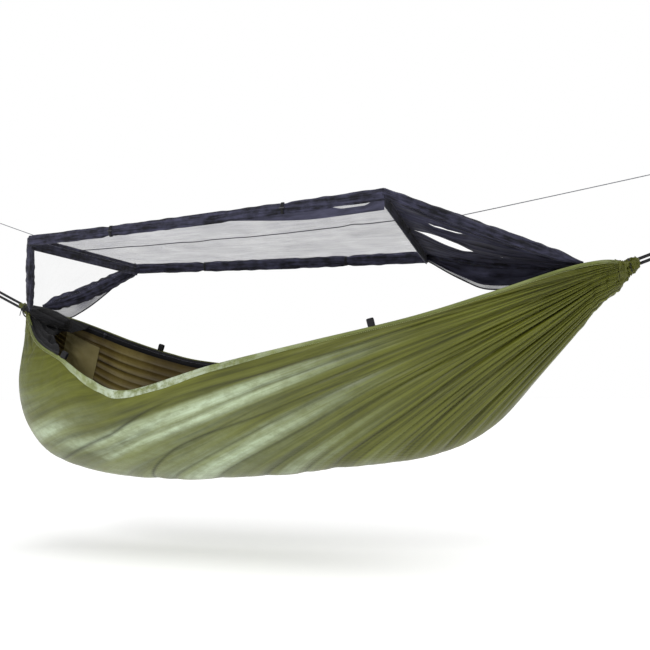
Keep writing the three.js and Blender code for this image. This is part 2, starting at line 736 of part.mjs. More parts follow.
function addElastics() {
  for (const [name, rod, settings, side] of [
    ["left", LEFT_ROD, LEFT_ELASTIC, -1],
    ["right", RIGHT_ROD, RIGHT_ELASTIC, 1],
  ]) {
    const run = elasticEnds(rod, settings, side);
    run.start.addScaledVector(run.direction, 2.5);
    const points = elasticPoints(run, settings.length - 3);
    add(`ridge_elastic_${name}`, tube(points, ELASTIC_CORD, 8, 40), material("elastic"));
    const hook = add(`elastic_hook_${name}`, tube(hookPoints(), 4, 8, 20), material("metal", 0.35, 0.9));
    hook.position.copy(run.start).addScaledVector(run.direction, settings.length - 2);
    hook.rotation.y = side > 0 ? -settings.angle : Math.PI + settings.angle;
  }
}

// A slider rides on the tape, a little past one of the rim's folds, and its pull hangs inside the hammock.
const ZIP = { start: 14, length: 13, depth: 4, height: 9, pullLength: 26, pullWidth: 7, pullDepth: 1.6 };
const ZIP_BELOW_RIM = 12;
const ZIP_CLEARANCE = 0.9; // between the slider and the tape, and between the pull and the slider

function zipPoint(column, side) {
  const depth = SLIDER_DEPTH + ZIP_CLEARANCE + ZIP.depth / 2;
  return facetPoint(column, girthBelowRim(column, side, ZIP_BELOW_RIM), depth);
}

function zipBox(name, width, depth, height) {
  const box = new THREE.Mesh(new THREE.BoxGeometry(width, depth, height), material("zip", 0.4, 0.6));
  box.name = name;
  return box;
}

function addZipPulls() {
  const places = { front_left: [7, -1], front_right: [23, -1], back_left: [6, 1], back_right: [23, 1] };
  for (const [name, [column, side]] of Object.entries(places)) {
    const at = zipPoint(column, side);
    const along = zipPoint(column + 1, side).sub(at);
    const climb = Math.atan2(along.z, Math.hypot(along.x, along.y));
    const slider = new THREE.Group();
    slider.rotation.set(0, -climb, Math.atan2(along.y, along.x), "ZYX");
    slider.position.copy(at).add(along.setLength(ZIP.start));
    placed.add(slider);
    const pull = zipBox(`zip_pull_${name}`, ZIP.pullWidth, ZIP.pullDepth, ZIP.pullLength);
    const inwards = -side * ((ZIP.depth + ZIP.pullDepth) / 2 + ZIP_CLEARANCE);
    pull.position.set(0, inwards, 2 - ZIP.pullLength / 2);
    slider.add(zipBox(`zip_slider_${name}`, ZIP.length, ZIP.depth, ZIP.height), pull);
  }
}

addBase();
addTieOutLoops();
addNet();
addSeamsAndFlaps();
addDoorTies();
addRods();
addSuspension();
addElastics();
addZipPulls();

export default hammock;
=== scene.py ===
"""Looks of a gathered-end camping hammock with a mosquito net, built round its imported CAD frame.

Lengths are in metres. The hammock's own frame has its middle halfway between the gathers and z = 0 at
the left gather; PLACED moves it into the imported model's frame, whose origin is on the hang line.
+X runs from the left gather to the right one, -Y is the front side and +Z is up.
"""

import math

import bpy
import numpy as np
from mathutils import Matrix, Vector


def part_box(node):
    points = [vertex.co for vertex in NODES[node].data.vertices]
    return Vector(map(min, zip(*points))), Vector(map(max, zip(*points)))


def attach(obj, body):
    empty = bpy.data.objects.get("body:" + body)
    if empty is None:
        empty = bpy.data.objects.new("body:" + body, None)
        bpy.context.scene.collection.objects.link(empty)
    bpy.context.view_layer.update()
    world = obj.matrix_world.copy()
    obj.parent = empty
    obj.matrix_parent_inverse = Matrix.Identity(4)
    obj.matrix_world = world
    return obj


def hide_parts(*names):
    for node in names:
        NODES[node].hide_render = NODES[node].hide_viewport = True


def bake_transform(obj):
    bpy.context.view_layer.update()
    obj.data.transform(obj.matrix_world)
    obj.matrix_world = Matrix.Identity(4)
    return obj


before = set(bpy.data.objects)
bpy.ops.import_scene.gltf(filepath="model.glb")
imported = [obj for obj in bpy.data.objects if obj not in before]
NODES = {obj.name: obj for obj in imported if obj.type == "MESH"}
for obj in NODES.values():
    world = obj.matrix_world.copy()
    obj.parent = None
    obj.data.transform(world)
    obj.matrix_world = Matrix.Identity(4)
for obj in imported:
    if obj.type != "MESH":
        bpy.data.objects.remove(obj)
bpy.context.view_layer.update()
PLACED = np.array([0.041, 0.0, -0.1375])
HAMMOCK, ANCHORS = "hammock", "anchors"


# ---- Numbers and noise ----


def point(x, y, z):
    """A point given in the hammock's own frame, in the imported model's frame."""
    return np.array([x, y, z], float) + PLACED


def srgb(red, green, blue):
    """A colour given as 0 to 255 values, as Blender's linear RGBA."""
    return tuple(((c / 255 + 0.055) / 1.055) ** 2.4 for c in (red, green, blue)) + (1.0,)


def smoothstep(low, high, value):
    """Rises smoothly from 0 at low to 1 at high, or falls where low is the larger."""
    t = np.clip((value - low) / (high - low), 0, 1)
    return t * t * (3 - 2 * t)


def value_noise(u, v, seed):
    """Smooth noise from -1 to 1 over the plane, the same on each run."""
    side = 64
    table = np.random.default_rng(seed).uniform(-1, 1, (side, side))
    u, v = np.broadcast_arrays(np.asarray(u, float), np.asarray(v, float))
    i, j = np.floor(u).astype(int), np.floor(v).astype(int)
    s, t = u - i, v - j
    s, t = s * s * (3 - 2 * s), t * t * (3 - 2 * t)

    def at(a, b):
        return table[a % side, b % side]

    near = at(i, j) * (1 - s) + at(i + 1, j) * s
    far = at(i, j + 1) * (1 - s) + at(i + 1, j + 1) * s
    return near * (1 - t) + far * t


def unit(vectors):
    """The same directions at length 1."""
    lengths = np.linalg.norm(vectors, axis=-1, keepdims=True)
    return vectors / np.maximum(lengths, 1e-12)


def curve_through(points, steps):
    """Evenly spaced points on a smooth line through the given ones."""
    points = np.array(points, float)
    padded = np.vstack([2 * points[0] - points[1], points, 2 * points[-1] - points[-2]])
    fine = []
    for a, b, c, d in zip(padded, padded[1:], padded[2:], padded[3:]):
        for t in np.linspace(0, 1, 24, endpoint=False):
            bend = (2 * b) + (c - a) * t + (2 * a - 5 * b + 4 * c - d) * t**2
            fine.append((bend + (3 * b - a - 3 * c + d) * t**3) / 2)
    fine = np.array(fine + [points[-1]])
    travelled = np.concatenate([[0], np.cumsum(np.linalg.norm(np.diff(fine, axis=0), axis=1))])
    return points_at(np.linspace(0, travelled[-1], steps + 1), travelled, fine)


def points_at(wanted, known, line):
    """Points at the wanted places of a line whose own points are at known places."""
    return np.stack([np.interp(wanted, known, line[:, axis]) for axis in range(3)], axis=1)


def straight(a, b, steps):
    """Evenly spaced points from one point to another."""
    return a + np.linspace(0, 1, steps)[:, None] * (b - a)


def between_lines(line_a, line_b, shares):
    """A grid of points from each point of one line to the same point of another."""
    return line_a[:, None, :] * (1 - shares)[..., None] + line_b[:, None, :] * shares[..., None]


def grid_shares(rows, columns):
    """Shares from 0 to 1 down a grid, as a column, and across it, as a row."""
    return np.linspace(0, 1, rows)[:, None], np.linspace(0, 1, columns)[None, :]


def full_turn(count):
    """Evenly spaced angles round a circle."""
    return 2 * np.pi * np.arange(count) / count


def line_length(points):
    """The length of a line through its points."""
    return float(np.linalg.norm(np.diff(points, axis=0), axis=1).sum())


# ---- Mesh building ----


def mesh_object(name, vertices, faces, uvs=None):
    """A smooth-shaded mesh. uvs holds one pair for each vertex."""
    mesh = bpy.data.meshes.new(name)
    mesh.from_pydata(np.asarray(vertices).tolist(), [], faces)
    mesh.polygons.foreach_set("use_smooth", [True] * len(mesh.polygons))
    if uvs is not None:
        layer = mesh.uv_layers.new(name="cloth")
        loops = np.empty(len(mesh.loops), int)
        mesh.loops.foreach_get("vertex_index", loops)
        layer.data.foreach_set("uv", np.asarray(uvs, float)[loops].ravel())
    mesh.update()
    piece = bpy.data.objects.new(name, mesh)
    bpy.context.scene.collection.objects.link(piece)
    return piece


def grid_faces(rows, columns, wrap=False):
    """Quads over a grid of points. With wrap, the last column joins the first."""
    index = np.arange(rows * columns).reshape(rows, columns)
    if wrap:
        index = np.hstack([index, index[:, :1]])
    quads = np.stack([index[:-1, :-1], index[:-1, 1:], index[1:, 1:], index[1:, :-1]], axis=-1)
    return quads.reshape(-1, 4).tolist()


def cloth_uv(grid):
    """Coordinates in metres along the rows and columns of a grid of points, for weave and stitching."""
    down = np.concatenate([[0], np.cumsum(np.linalg.norm(np.diff(grid, axis=0), axis=2).mean(1))])
    across = np.concatenate([[0], np.cumsum(np.linalg.norm(np.diff(grid, axis=1), axis=2).mean(0))])
    v, u = np.meshgrid(across, down)
    return np.stack([u, v], axis=-1).reshape(-1, 2)


def sheet_object(name, grid):
    """A single layer of cloth over a grid of points."""
    rows, columns = grid.shape[:2]
    return mesh_object(name, grid.reshape(-1, 3), grid_faces(rows, columns), cloth_uv(grid))


def loft_object(name, rings):
    """A closed body through rings of points, with a fan over each end."""
    rings = np.asarray(rings, float)
    rows, columns = rings.shape[:2]
    vertices = rings.reshape(-1, 3)
    faces = grid_faces(rows, columns, wrap=True)
    uvs = cloth_uv(rings)
    for ring, flip in ((0, False), (rows - 1, True)):
        centre = len(vertices)
        vertices = np.vstack([vertices, rings[ring].mean(0)])
        uvs = np.vstack([uvs, uvs[ring * columns]])
        for i in range(columns):
            a, b = ring * columns + i, ring * columns + (i + 1) % columns
            faces.append([centre, a, b] if flip else [centre, b, a])
    piece = mesh_object(name, vertices, faces, uvs)
    piece.data.flip_normals()
    return piece


def sweep_rings(path, radius, up=(0, 0, 1), wide=1.0, tall=1.0):
    """Rings of points round a path. radius is an array with one row for each point of the path and one
    column for each side."""
    tangent = unit(np.gradient(path, axis=0))
    side = unit(np.cross(tangent, np.array(up, float)))
    top = np.cross(side, tangent)
    angle = full_turn(radius.shape[1])
    across = wide * np.cos(angle)[None, :, None] * side[:, None, :]
    upward = tall * np.sin(angle)[None, :, None] * top[:, None, :]
    return path[:, None, :] + radius[:, :, None] * (across + upward)


def round_object(name, line, diameter, sides, up=(0, 0, 1)):
    """A round cord or bar of one thickness along a line of points."""
    return loft_object(name, sweep_rings(line, np.full((len(line), sides), diameter / 2), up))


def bar_object(name, line, sizes, sides, up):
    """A round bar whose diameter is given at each point of a line."""
    return loft_object(name, sweep_rings(line, np.repeat(sizes[:, None] / 2, sides, axis=1), up))


def tube_object(name, points, diameter, steps, sides=16, up=(0, 1, 0)):
    """A round cord on a smooth line through a few points."""
    return round_object(name, curve_through(points, steps), diameter, sides, up)


BOX_CORNERS = np.array([[x, y, z] for x in (-1, 1) for y in (-1, 1) for z in (-1, 1)])
BOX_FACES = [[0, 1, 3, 2], [4, 6, 7, 5], [0, 4, 5, 1], [2, 3, 7, 6], [0, 2, 6, 4], [1, 5, 7, 3]]


def box_object(name, size, bevel):
    """A box about its own middle, with rounded edges."""
    piece = mesh_object(name, BOX_CORNERS * np.array(size) / 2, BOX_FACES)
    rounding = piece.modifiers.new("rounding", "BEVEL")
    rounding.width = bevel
    rounding.segments = 3
    apply_modifiers(piece)
    return piece


def paint(piece, name, values):
    """Keeps a value for each point of a sheet, which its material can read."""
    layer = piece.data.attributes.new(name, "FLOAT", "POINT")
    layer.data.foreach_set("value", np.asarray(values, np.float32).ravel())


def apply_modifiers(piece):
    """Keeps the shape that a piece's modifiers give it, as its own mesh."""
    bpy.context.view_layer.update()
    evaluated = piece.evaluated_get(bpy.context.evaluated_depsgraph_get())
    mesh = bpy.data.meshes.new_from_object(evaluated)
    piece.modifiers.clear()
    piece.data = mesh


def join(name, pieces):
    """One object from several, each moved into place first."""
    bpy.context.view_layer.update()
    vertices, faces, uvs = [], [], []
    for piece in pieces:
        start = len(vertices)
        vertices += [list(piece.matrix_world @ v.co) for v in piece.data.vertices]
        faces += [[start + i for i in polygon.vertices] for polygon in piece.data.polygons]
        layer = piece.data.uv_layers.active
        corner_uv = [(0.0, 0.0)] * len(piece.data.vertices)
        if layer:
            for loop in piece.data.loops:
                corner_uv[loop.vertex_index] = tuple(layer.data[loop.index].uv)
        uvs += corner_uv
        bpy.data.objects.remove(piece)
    return mesh_object(name, vertices, faces, uvs)


def dress(piece, look, replaces=(), body=HAMMOCK):
    """Gives a piece its material, the CAD nodes that it stands for and its body."""
    piece.data.materials.clear()
    piece.data.materials.append(look)
    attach(piece, body)
    if replaces:
        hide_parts(*replaces)
    return piece


def repeat_faces(faces, count):
    """The faces of many equal pieces, each of eight corners, kept one after another."""
    return [[8 * i + corner for corner in face] for i in range(count) for face in faces]


def node_points(node):
    """A CAD node's vertices."""
    return np.array([vertex.co for vertex in NODES[node].data.vertices])


def node_box(node):
    """The middle of a CAD node's box, and its size along each axis."""
    low, high = (np.array(corner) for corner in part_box(node))
    return (low + high) / 2, high - low


# ---- Camera ----

CAMERA_AT = (0.988, -2.644, -0.4465)
CAMERA_YAW, CAMERA_PITCH, CAMERA_ROLL = 0.309, 0.076, -0.009
CAMERA_LENS = 44.27


def add_camera():
    """The camera that took the photo, as fitted to it."""
    yaw, pitch = CAMERA_YAW, CAMERA_PITCH
    forward = Vector((-math.sin(yaw) * math.cos(pitch), math.cos(yaw) * math.cos(pitch), math.sin(pitch)))
    level = Vector((math.cos(yaw), math.sin(yaw), 0))
    above = level.cross(forward)
    right = level * math.cos(CAMERA_ROLL) + above * math.sin(CAMERA_ROLL)
    up = above * math.cos(CAMERA_ROLL) - level * math.sin(CAMERA_ROLL)
    camera = bpy.data.objects.new("camera", bpy.data.cameras.new("camera"))
    camera.data.lens = CAMERA_LENS
    camera.data.sensor_width = 36
    camera.data.clip_end = 100
    turn = Matrix((right, up, -forward)).transposed().to_4x4()
    camera.matrix_world = Matrix.Translation(CAMERA_AT) @ turn
    bpy.context.scene.collection.objects.link(camera)
    bpy.context.scene.camera = camera


add_camera()


# ---- Materials ----


class Nodes:
    """A node tree, and short names for the nodes that are put in it."""

    def __init__(self, tree):
        self.tree = tree

    def node(self, kind, settings=None, **inputs):
        """A new node. Its inputs are given by name, or as i and the socket's number."""
        made = self.tree.nodes.new(kind)
        for key, value in (settings or {}).items():
            setattr(made, key, value)
        for key, value in inputs.items():
            socket = made.inputs[int(key[1:])] if key[0] == "i" and key[1:].isdigit() else made.inputs[key]
            if hasattr(value, "is_output"):
                self.tree.links.new(value, socket)
            else:
                socket.default_value = value
        return made

    def between(self, value, low, high, at_low, at_high):
        """A value scaled from one range to another, and kept inside it."""
        made = self.node("ShaderNodeMapRange", None, Value=value, i1=low, i2=high, i3=at_low, i4=at_high)
        return made.outputs[0]


class Look(Nodes):
    """A material with one Principled shader, and short names for the nodes that feed it."""

    def __init__(self, name, roughness, **constants):
        self.material = bpy.data.materials.new(name)
        self.material.use_nodes = True
        super().__init__(self.material.node_tree)
        self.shader = self.tree.nodes["Principled BSDF"]
        self.shader.inputs["Roughness"].default_value = roughness
        for socket, value in constants.items():
            self.shader.inputs[socket.replace("_", " ")].default_value = value

    def math(self, operation, a, b=0.0, c=0.0):
        """The result of a sum or a function of up to three values."""
        return self.node("ShaderNodeMath", {"operation": operation}, i0=a, i1=b, i2=c).outputs[0]

    def coordinates(self, kind="Object", stretch=(1, 1, 1)):
        """Object or UV coordinates, in metres, stretched along each axis."""
        source = self.node("ShaderNodeTexCoord").outputs[kind]
        return self.node("ShaderNodeMapping", None, Vector=source, Scale=stretch).outputs[0]

    def slanted(self, degrees):
        """UV coordinates turned by an angle."""
        turn = (0, 0, math.radians(degrees))
        return self.node("ShaderNodeMapping", None, Vector=self.coordinates("UV"), Rotation=turn).outputs[0]

    def kept(self, name):
        """The node that reads values kept on a sheet's points."""
        return self.node("ShaderNodeAttribute", {"attribute_name": name})

    def split(self, vector):
        """The three parts of a vector."""
        return self.node("ShaderNodeSeparateXYZ", None, Vector=vector).outputs

    def noise(self, scale, detail=3.0, vector=None, roughness=0.55):
        """Smooth noise round a half, with scale patches in each metre."""
        vector = vector or self.coordinates()
        inputs = {"Vector": vector, "Scale": scale, "Detail": detail, "Roughness": roughness}
        return self.node("ShaderNodeTexNoise", None, **inputs).outputs[0]

    def waves(self, spacing, axis, vector=None):
        """Stripes of a given spacing across an axis of the cloth's own coordinates."""
        vector = vector or self.coordinates("UV")
        settings = {"wave_type": "BANDS", "bands_direction": axis, "wave_profile": "SIN"}
        # a wave texture at scale 1 has a stripe each 0.314 of a unit
        scale = 0.314 / spacing
        return self.node("ShaderNodeTexWave", settings, Vector=vector, Scale=scale).outputs[1]

    def ramp(self, factor, stops):
        """A colour picked by a value, through stops given as (value, colour)."""
        made = self.node("ShaderNodeValToRGB", None, Fac=factor)
        for index, (place, colour) in enumerate(stops):
            known = made.color_ramp.elements
            stop = known[index] if index < len(known) else known.new(place)
            stop.position = place
            stop.color = colour
        return made.outputs[0]

    def mix(self, factor, a, b):
        """A colour from a, where the factor is 0, to b, where it is 1."""
        return self.node("ShaderNodeMix", {"data_type": "RGBA"}, i0=factor, i6=a, i7=b).outputs[2]

    def bump(self, height, strength, distance, below=None):
        """A surface direction bent by a height, on top of the bumps below it."""
        inputs = {"Height": height, "Strength": strength, "Distance": distance}
        if below is not None:
            inputs["Normal"] = below
        return self.node("ShaderNodeBump", None, **inputs).outputs[0]

    def creases(self, widths):
        """The creases kept on the sheet: painted shade along their valleys, painted highlights on their
        crests, and their height for bump."""
        names = ("crease_lines", "crease_depths")
        lines, depths = (self.split(self.kept(name).outputs[1]) for name in names)
        painted_valley_shade, painted_crest_highlight, height = 0.0, 0.0, 0.0
        for line, depth, width in zip(lines, depths, widths):
            wave = self.math("ABSOLUTE", self.math("SINE", self.math("MULTIPLY", line, math.pi)))
            low = self.between(wave, 0.0, width, 1.0, 0.0)
            painted_valley_shade = self.math("MAXIMUM", painted_valley_shade, self.math("MULTIPLY", low, depth))
            high = self.between(wave, 0.86, 1.0, 0.0, 1.0)
            painted_crest_highlight = self.math("MAXIMUM", painted_crest_highlight, self.math("MULTIPLY", high, depth))
            height = self.math("MULTIPLY_ADD", self.math("POWER", wave, 0.6), depth, height)
        return painted_valley_shade, painted_crest_highlight, height

    def along_creases(self):
        """Coordinates that run along a sheet's creases and, much finer, across them."""
        cloth = self.split(self.coordinates("UV"))
        along = self.math("MULTIPLY", cloth[0], 0.3)
        across = self.math("MULTIPLY", self.split(self.kept("crease_lines").outputs[1])[1], 0.45)
        return self.node("ShaderNodeCombineXYZ", None, X=along, Y=across, Z=cloth[2]).outputs[0]

    def feed(self, **sockets):
        """Links what has been made into the shader, and gives the finished material."""
        for key, value in sockets.items():
            self.tree.links.new(value, self.shader.inputs[key.replace("_", " ")])
        return self.material


def scaled(colour, factor):
    """A colour made darker or brighter."""
    return tuple(factor * c for c in colour[:3]) + (1,)


# spacings of the nylon's threads and its grid, of the net's threads and of the webbing's ribs
WEAVE, RIPSTOP, NET_CELL, WEBBING_RIB = 0.0012, 0.006, 0.0016, 0.0022


def nylon(name, dark, middle, light, painted_highlight_colour, roughness, crumple, shade=0.85, widths=(0.16, 0.36, 0.5)):
    """Thin ripstop nylon: a fine weave, soft crinkles, and a colour that shifts a little along the folds,
    with painted shade in the creases' valleys, painted highlights on their crests, and a painted silvery
    highlight where its sheet asks for one.
    """
    look = Look(name, roughness, Specular_IOR_Level=0.32, Sheen_Weight=0.03, Sheen_Roughness=0.4)
    gloss_and_painted_highlight = look.kept("gloss_and_painted_highlight").outputs[2]
    painted_valley_shade, painted_crest_highlight, ridges = look.creases(widths)
    broad = look.noise(3.2, 3.0, look.coordinates(stretch=(1, 1.4, 1.4)))
    streaks = look.noise(9.0, 5.0, look.along_creases())
    blend = look.math("MULTIPLY_ADD", streaks, 0.7, look.math("MULTIPLY", broad, 0.3))
    colour = look.ramp(blend, [(0.34, dark), (0.5, middle), (0.68, light)])
    # painted highlight on the creases' crests
    colour = look.mix(look.math("MULTIPLY", painted_crest_highlight, 0.5), colour, scaled(light, 1.25))
    # the painted silvery highlight, broken up by crumple and streak noise, mixed into the colour
    mottled = look.noise(36.0, 5.0, look.coordinates("UV", (0.5, 1, 1)), 0.7)
    mottled = look.between(mottled, 0.42, 0.56, 1.1 - 0.4 * crumple, 1.0)
    broken = look.between(look.noise(3.4, 5.0, look.along_creases(), 0.62), 0.40, 0.60, 0.3, 1.0)
    gloss_and_painted_highlight = look.math("MULTIPLY", gloss_and_painted_highlight, look.math("MULTIPLY", mottled, broken))
    colour = look.mix(gloss_and_painted_highlight, colour, painted_highlight_colour)
    # painted shade in the creases' valleys
    colour = look.mix(look.math("MULTIPLY", painted_valley_shade, shade), colour, scaled(dark, 0.25))
    weave = look.math("ADD", look.waves(WEAVE, "X"), look.waves(WEAVE, "Y"))
    rip = look.math("MAXIMUM", look.waves(RIPSTOP, "X"), look.waves(RIPSTOP, "Y"))
    rip = look.math("GREATER_THAN", rip, 0.97)
    crinkle = look.noise(28.0, 5.0, look.coordinates("UV", (1, 1.6, 1)), 0.62)
    soft = look.noise(9.0, 3.0)
    normal = look.bump(ridges, 0.6, 0.006)
    normal = look.bump(soft, 0.25, 0.004 * crumple, normal)
    normal = look.bump(crinkle, 0.4, 0.0018 * crumple, normal)
    normal = look.bump(look.math("MULTIPLY_ADD", rip, 0.6, weave), 0.35, 0.00012, normal)
    shine = look.noise(14.0, 3.0, look.coordinates("UV", (0.4, 1.5, 1)))
    rough = look.math("MULTIPLY_ADD", shine, 0.22, roughness - 0.11)
    rough = look.math("MULTIPLY_ADD", gloss_and_painted_highlight, -0.12, rough)
    return look.feed(Base_Color=colour, Normal=normal, Roughness=rough)


def netting(name, cover, dark=(20, 20, 30), pale=(78, 78, 100)):
    """Fine mosquito net: what share of the light it stops, with a mesh of threads and thicker folds."""
    look = Look(name, 0.75, Sheen_Weight=0.05, Specular_IOR_Level=0.2)
    cells = look.math("MAXIMUM", look.waves(NET_CELL, "X"), look.waves(NET_CELL, "Y"))
    streaks = look.noise(16.0, 4.0, look.coordinates("UV", (0.5, 3.0, 1)))
    patches = look.noise(7.0, 2.0)
    colour = look.ramp(streaks, [(0.3, srgb(*dark)), (0.72, srgb(*pale))])
    folds = look.math("MULTIPLY_ADD", streaks, 0.5, look.math("MULTIPLY", patches, 0.5))
    share = look.math("MULTIPLY_ADD", folds, 1.1 * cover, cover * 0.24)
    threads = look.math("MULTIPLY_ADD", cells, 0.5, 0.68)
    alpha = look.node("ShaderNodeClamp", None, Value=look.math("MULTIPLY", share, threads)).outputs[0]
    normal = look.bump(look.noise(60.0, 3.0, look.coordinates("UV", (0.6, 2.0, 1))), 0.4, 0.002)
    return look.feed(Base_Color=colour, Alpha=alpha, Normal=normal)


def bunched_net(name, dark=(10, 10, 18), pale=(66, 66, 88)):
    """Several layers of the same net rolled or gathered together, so nothing shows through. Its colour is
    painted lighter on the raised folds and darker between them, as highlight and shade, with random
    mottling.
    """
    look = Look(name, 0.75, Sheen_Weight=0.08, Sheen_Roughness=0.5, Specular_IOR_Level=0.2)
    streaks = look.noise(26.0, 5.0, look.coordinates("UV", (0.35, 3.2, 1)), 0.65)
    mottling = look.noise(40.0, 3.0)
    blend = look.math("MULTIPLY_ADD", streaks, 0.7, look.math("MULTIPLY", mottling, 0.3))
    # painted highlight on the raised folds and painted shade between them, mixed with random mottling
    colour = look.ramp(blend, [(0.42, srgb(*dark)), (0.66, srgb(*pale))])
    cells = look.math("ADD", look.waves(NET_CELL, "X"), look.waves(NET_CELL, "Y"))
    normal = look.bump(streaks, 0.6, 0.004)
    normal = look.bump(cells, 0.4, 0.0002, normal)
    return look.feed(Base_Color=colour, Normal=normal)


def webbing(name, dark=(7, 7, 9), pale=(28, 28, 34)):
    """Woven black tape with a herringbone of fine ribs."""
    look = Look(name, 0.65, Sheen_Weight=0.08, Specular_IOR_Level=0.25)
    ribs = look.waves(WEBBING_RIB, "X", look.slanted(45))
    wear = look.noise(30.0, 4.0)
    blend = look.math("MULTIPLY_ADD", ribs, 0.35, look.math("MULTIPLY", wear, 0.65))
    colour = look.ramp(blend, [(0.3, srgb(*dark)), (0.8, srgb(*pale))])
    normal = look.bump(ribs, 0.5, 0.0004)
    return look.feed(Base_Color=colour, Normal=normal)


def braid(name, dark, pale, spacing):
    """A round braided cord: two sets of strands that cross on its surface."""
    look = Look(name, 0.6, Sheen_Weight=0.08, Specular_IOR_Level=0.25)
    crossed = look.math("MAXIMUM", *(look.waves(spacing, "X", look.slanted(angle)) for angle in (35, -35)))
    colour = look.ramp(crossed, [(0.2, srgb(*dark)), (0.95, srgb(*pale))])
    return look.feed(Base_Color=colour, Normal=look.bump(crossed, 0.6, 0.0006))


def metal(name, tint, roughness):
    """Anodised or painted metal, brushed and rubbed a little."""
    look = Look(name, roughness, Metallic=1.0)
    rubbed = look.noise(90.0, 4.0)
    colour = look.ramp(rubbed, [(0.3, scaled(tint, 0.7)), (0.7, tint)])
    rough = look.math("MULTIPLY_ADD", rubbed, 0.25, roughness - 0.1)
    normal = look.bump(look.noise(400.0, 2.0, look.coordinates(stretch=(0.1, 1, 1))), 0.15, 0.0002)
    return look.feed(Base_Color=colour, Roughness=rough, Normal=normal)


def plastic(name, dark, pale, roughness):
    """A moulded surface with a fine grain."""
    look = Look(name, roughness, Specular_IOR_Level=0.5)
    grain = look.noise(500.0, 2.0)
    worn = look.noise(45.0, 4.0)
    colour = look.ramp(worn, [(0.35, dark), (0.75, pale)])
    return look.feed(Base_Color=colour, Normal=look.bump(grain, 0.25, 0.0002))


def thread(name, colour):
    """Sewing thread."""
    look = Look(name, 0.55, Sheen_Weight=0.4)
    shade = look.noise(260.0, 2.0)
    return look.feed(Base_Color=look.ramp(shade, [(0.3, scaled(colour, 0.6)), (0.7, colour)]))


# colours of the painted silvery highlight, on the olive nylon and on its front hem
PAINTED_HIGHLIGHT_TINT, HEM_PAINTED_HIGHLIGHT = srgb(186, 202, 172), srgb(192, 204, 186)
OLIVES = srgb(56, 59, 10), srgb(80, 83, 17), srgb(100, 105, 34)
# the front hem's colours: the olive nylon painted paler, as lit where the hem turns up and catches the light
PAINTED_LIT_HEM_OLIVES = srgb(70, 76, 22), srgb(104, 112, 56), srgb(138, 146, 96)
BROWNS = srgb(48, 36, 12), srgb(84, 70, 28), srgb(126, 112, 56)
TANS = srgb(112, 102, 62), srgb(140, 130, 86), srgb(162, 152, 112)
OLIVE = nylon("olive nylon", *OLIVES, PAINTED_HIGHLIGHT_TINT, 0.42, 1.0)
PAINTED_LIT_OLIVE_HEM = nylon("olive hem painted lit", *PAINTED_LIT_HEM_OLIVES, HEM_PAINTED_HIGHLIGHT, 0.4, 2.4)
INNER = nylon("inner nylon", *BROWNS, PAINTED_HIGHLIGHT_TINT, 0.5, 1.0, 0.95, (0.6, 0.3, 0.3))
POCKET = nylon("pocket nylon", *TANS, PAINTED_HIGHLIGHT_TINT, 0.5, 1.6)
ROOF_NET = netting("roof net", 0.58, (30, 30, 52), (96, 96, 124))
CLEAR_NET = netting("clear net", 0.09)
LAYERED_NET = netting("layered net", 1.9)
FLAP_NET = netting("flap net", 0.85)
BUNCHED = bunched_net("bunched net")
SKIRT = bunched_net("skirt cloth", (5, 5, 7), (22, 22, 27))
TAPE = webbing("black tape")
BINDING = webbing("net binding", (10, 10, 18), (36, 36, 50))
CORD = braid("black cord", (7, 7, 9), (34, 34, 38), 0.0035)
ELASTIC = braid("elastic cord", (70, 72, 78), (128, 130, 136), 0.002)
ALLOY = metal("alloy", srgb(176, 178, 182), 0.3)
DARK_METAL = metal("zip metal", srgb(70, 70, 76), 0.4)
HOOK_PLASTIC = plastic("hook plastic", srgb(26, 26, 30), srgb(52, 52, 58), 0.42)
ROD_PLASTIC = plastic("rod fibreglass", srgb(34, 34, 38), srgb(62, 62, 68), 0.3)
OLIVE_THREAD = thread("olive thread", srgb(150, 158, 96))
DARK_THREAD = thread("dark thread", srgb(64, 64, 78))


# ---- Cords, with what is on them ----

SIDES, FACES = {"left": -1, "right": 1}, {"front": -1, "back": 1}
CORNERS = [f"{face}_{end}" for face in FACES for end in SIDES]
HANG_LEVEL = 0.1375  # of the cords' turns in their carabiners, above the left gather
GATHER_X, GATHER_Z = {"left": -1.125, "right": 1.088}, {"left": 0.0, "right": 0.054}
SUSPENSION_RUNS = {"left": 0.282, "right": 0.237}
SUSPENSION_CORD, ELASTIC_CORD = 0.010, 0.003
STRAND_OFFSET, EYE_RADIUS, CHANNEL_TIP = 0.0075, 0.016, 0.034


def gather_point(end):
    """Where the cloth is gathered and lashed."""
    return point(GATHER_X[end], 0, GATHER_Z[end])


def suspension_angle(end):
    """How steeply a doubled cord rises from its gather."""
    return math.atan2(HANG_LEVEL - GATHER_Z[end], SUSPENSION_RUNS[end])


def suspension_direction(end):
    """The way a doubled cord runs from its gather."""
    angle = suspension_angle(end)
    return np.array([SIDES[end] * math.cos(angle), 0, math.sin(angle)])


def suspension_points(end):
    """The doubled cord's middle line: out of the gather, round the carabiner and back."""
    side, gather = SIDES[end], gather_point(end)
    direction = suspension_direction(end)
    across = np.array([-direction[2] * side, 0, direction[0] * side])
    reach = SUSPENSION_RUNS[end] / math.cos(suspension_angle(end))
    strand = [
        (CHANNEL_TIP + SUSPENSION_CORD, STRAND_OFFSET),
        (reach * 0.35, STRAND_OFFSET),
        (reach * 0.6, STRAND_OFFSET + 0.001),
        (reach * 0.8, EYE_RADIUS - 0.002),
    ]
    turn = [
        (reach - EYE_RADIUS + EYE_RADIUS * math.cos(angle), EYE_RADIUS * math.sin(angle))
        for angle in np.linspace(math.pi / 2, -math.pi / 2, 7)
    ]
    back = [(along, -offset) for along, offset in reversed(strand)]
    return [gather + direction * along + across * offset for along, offset in strand + turn + back]


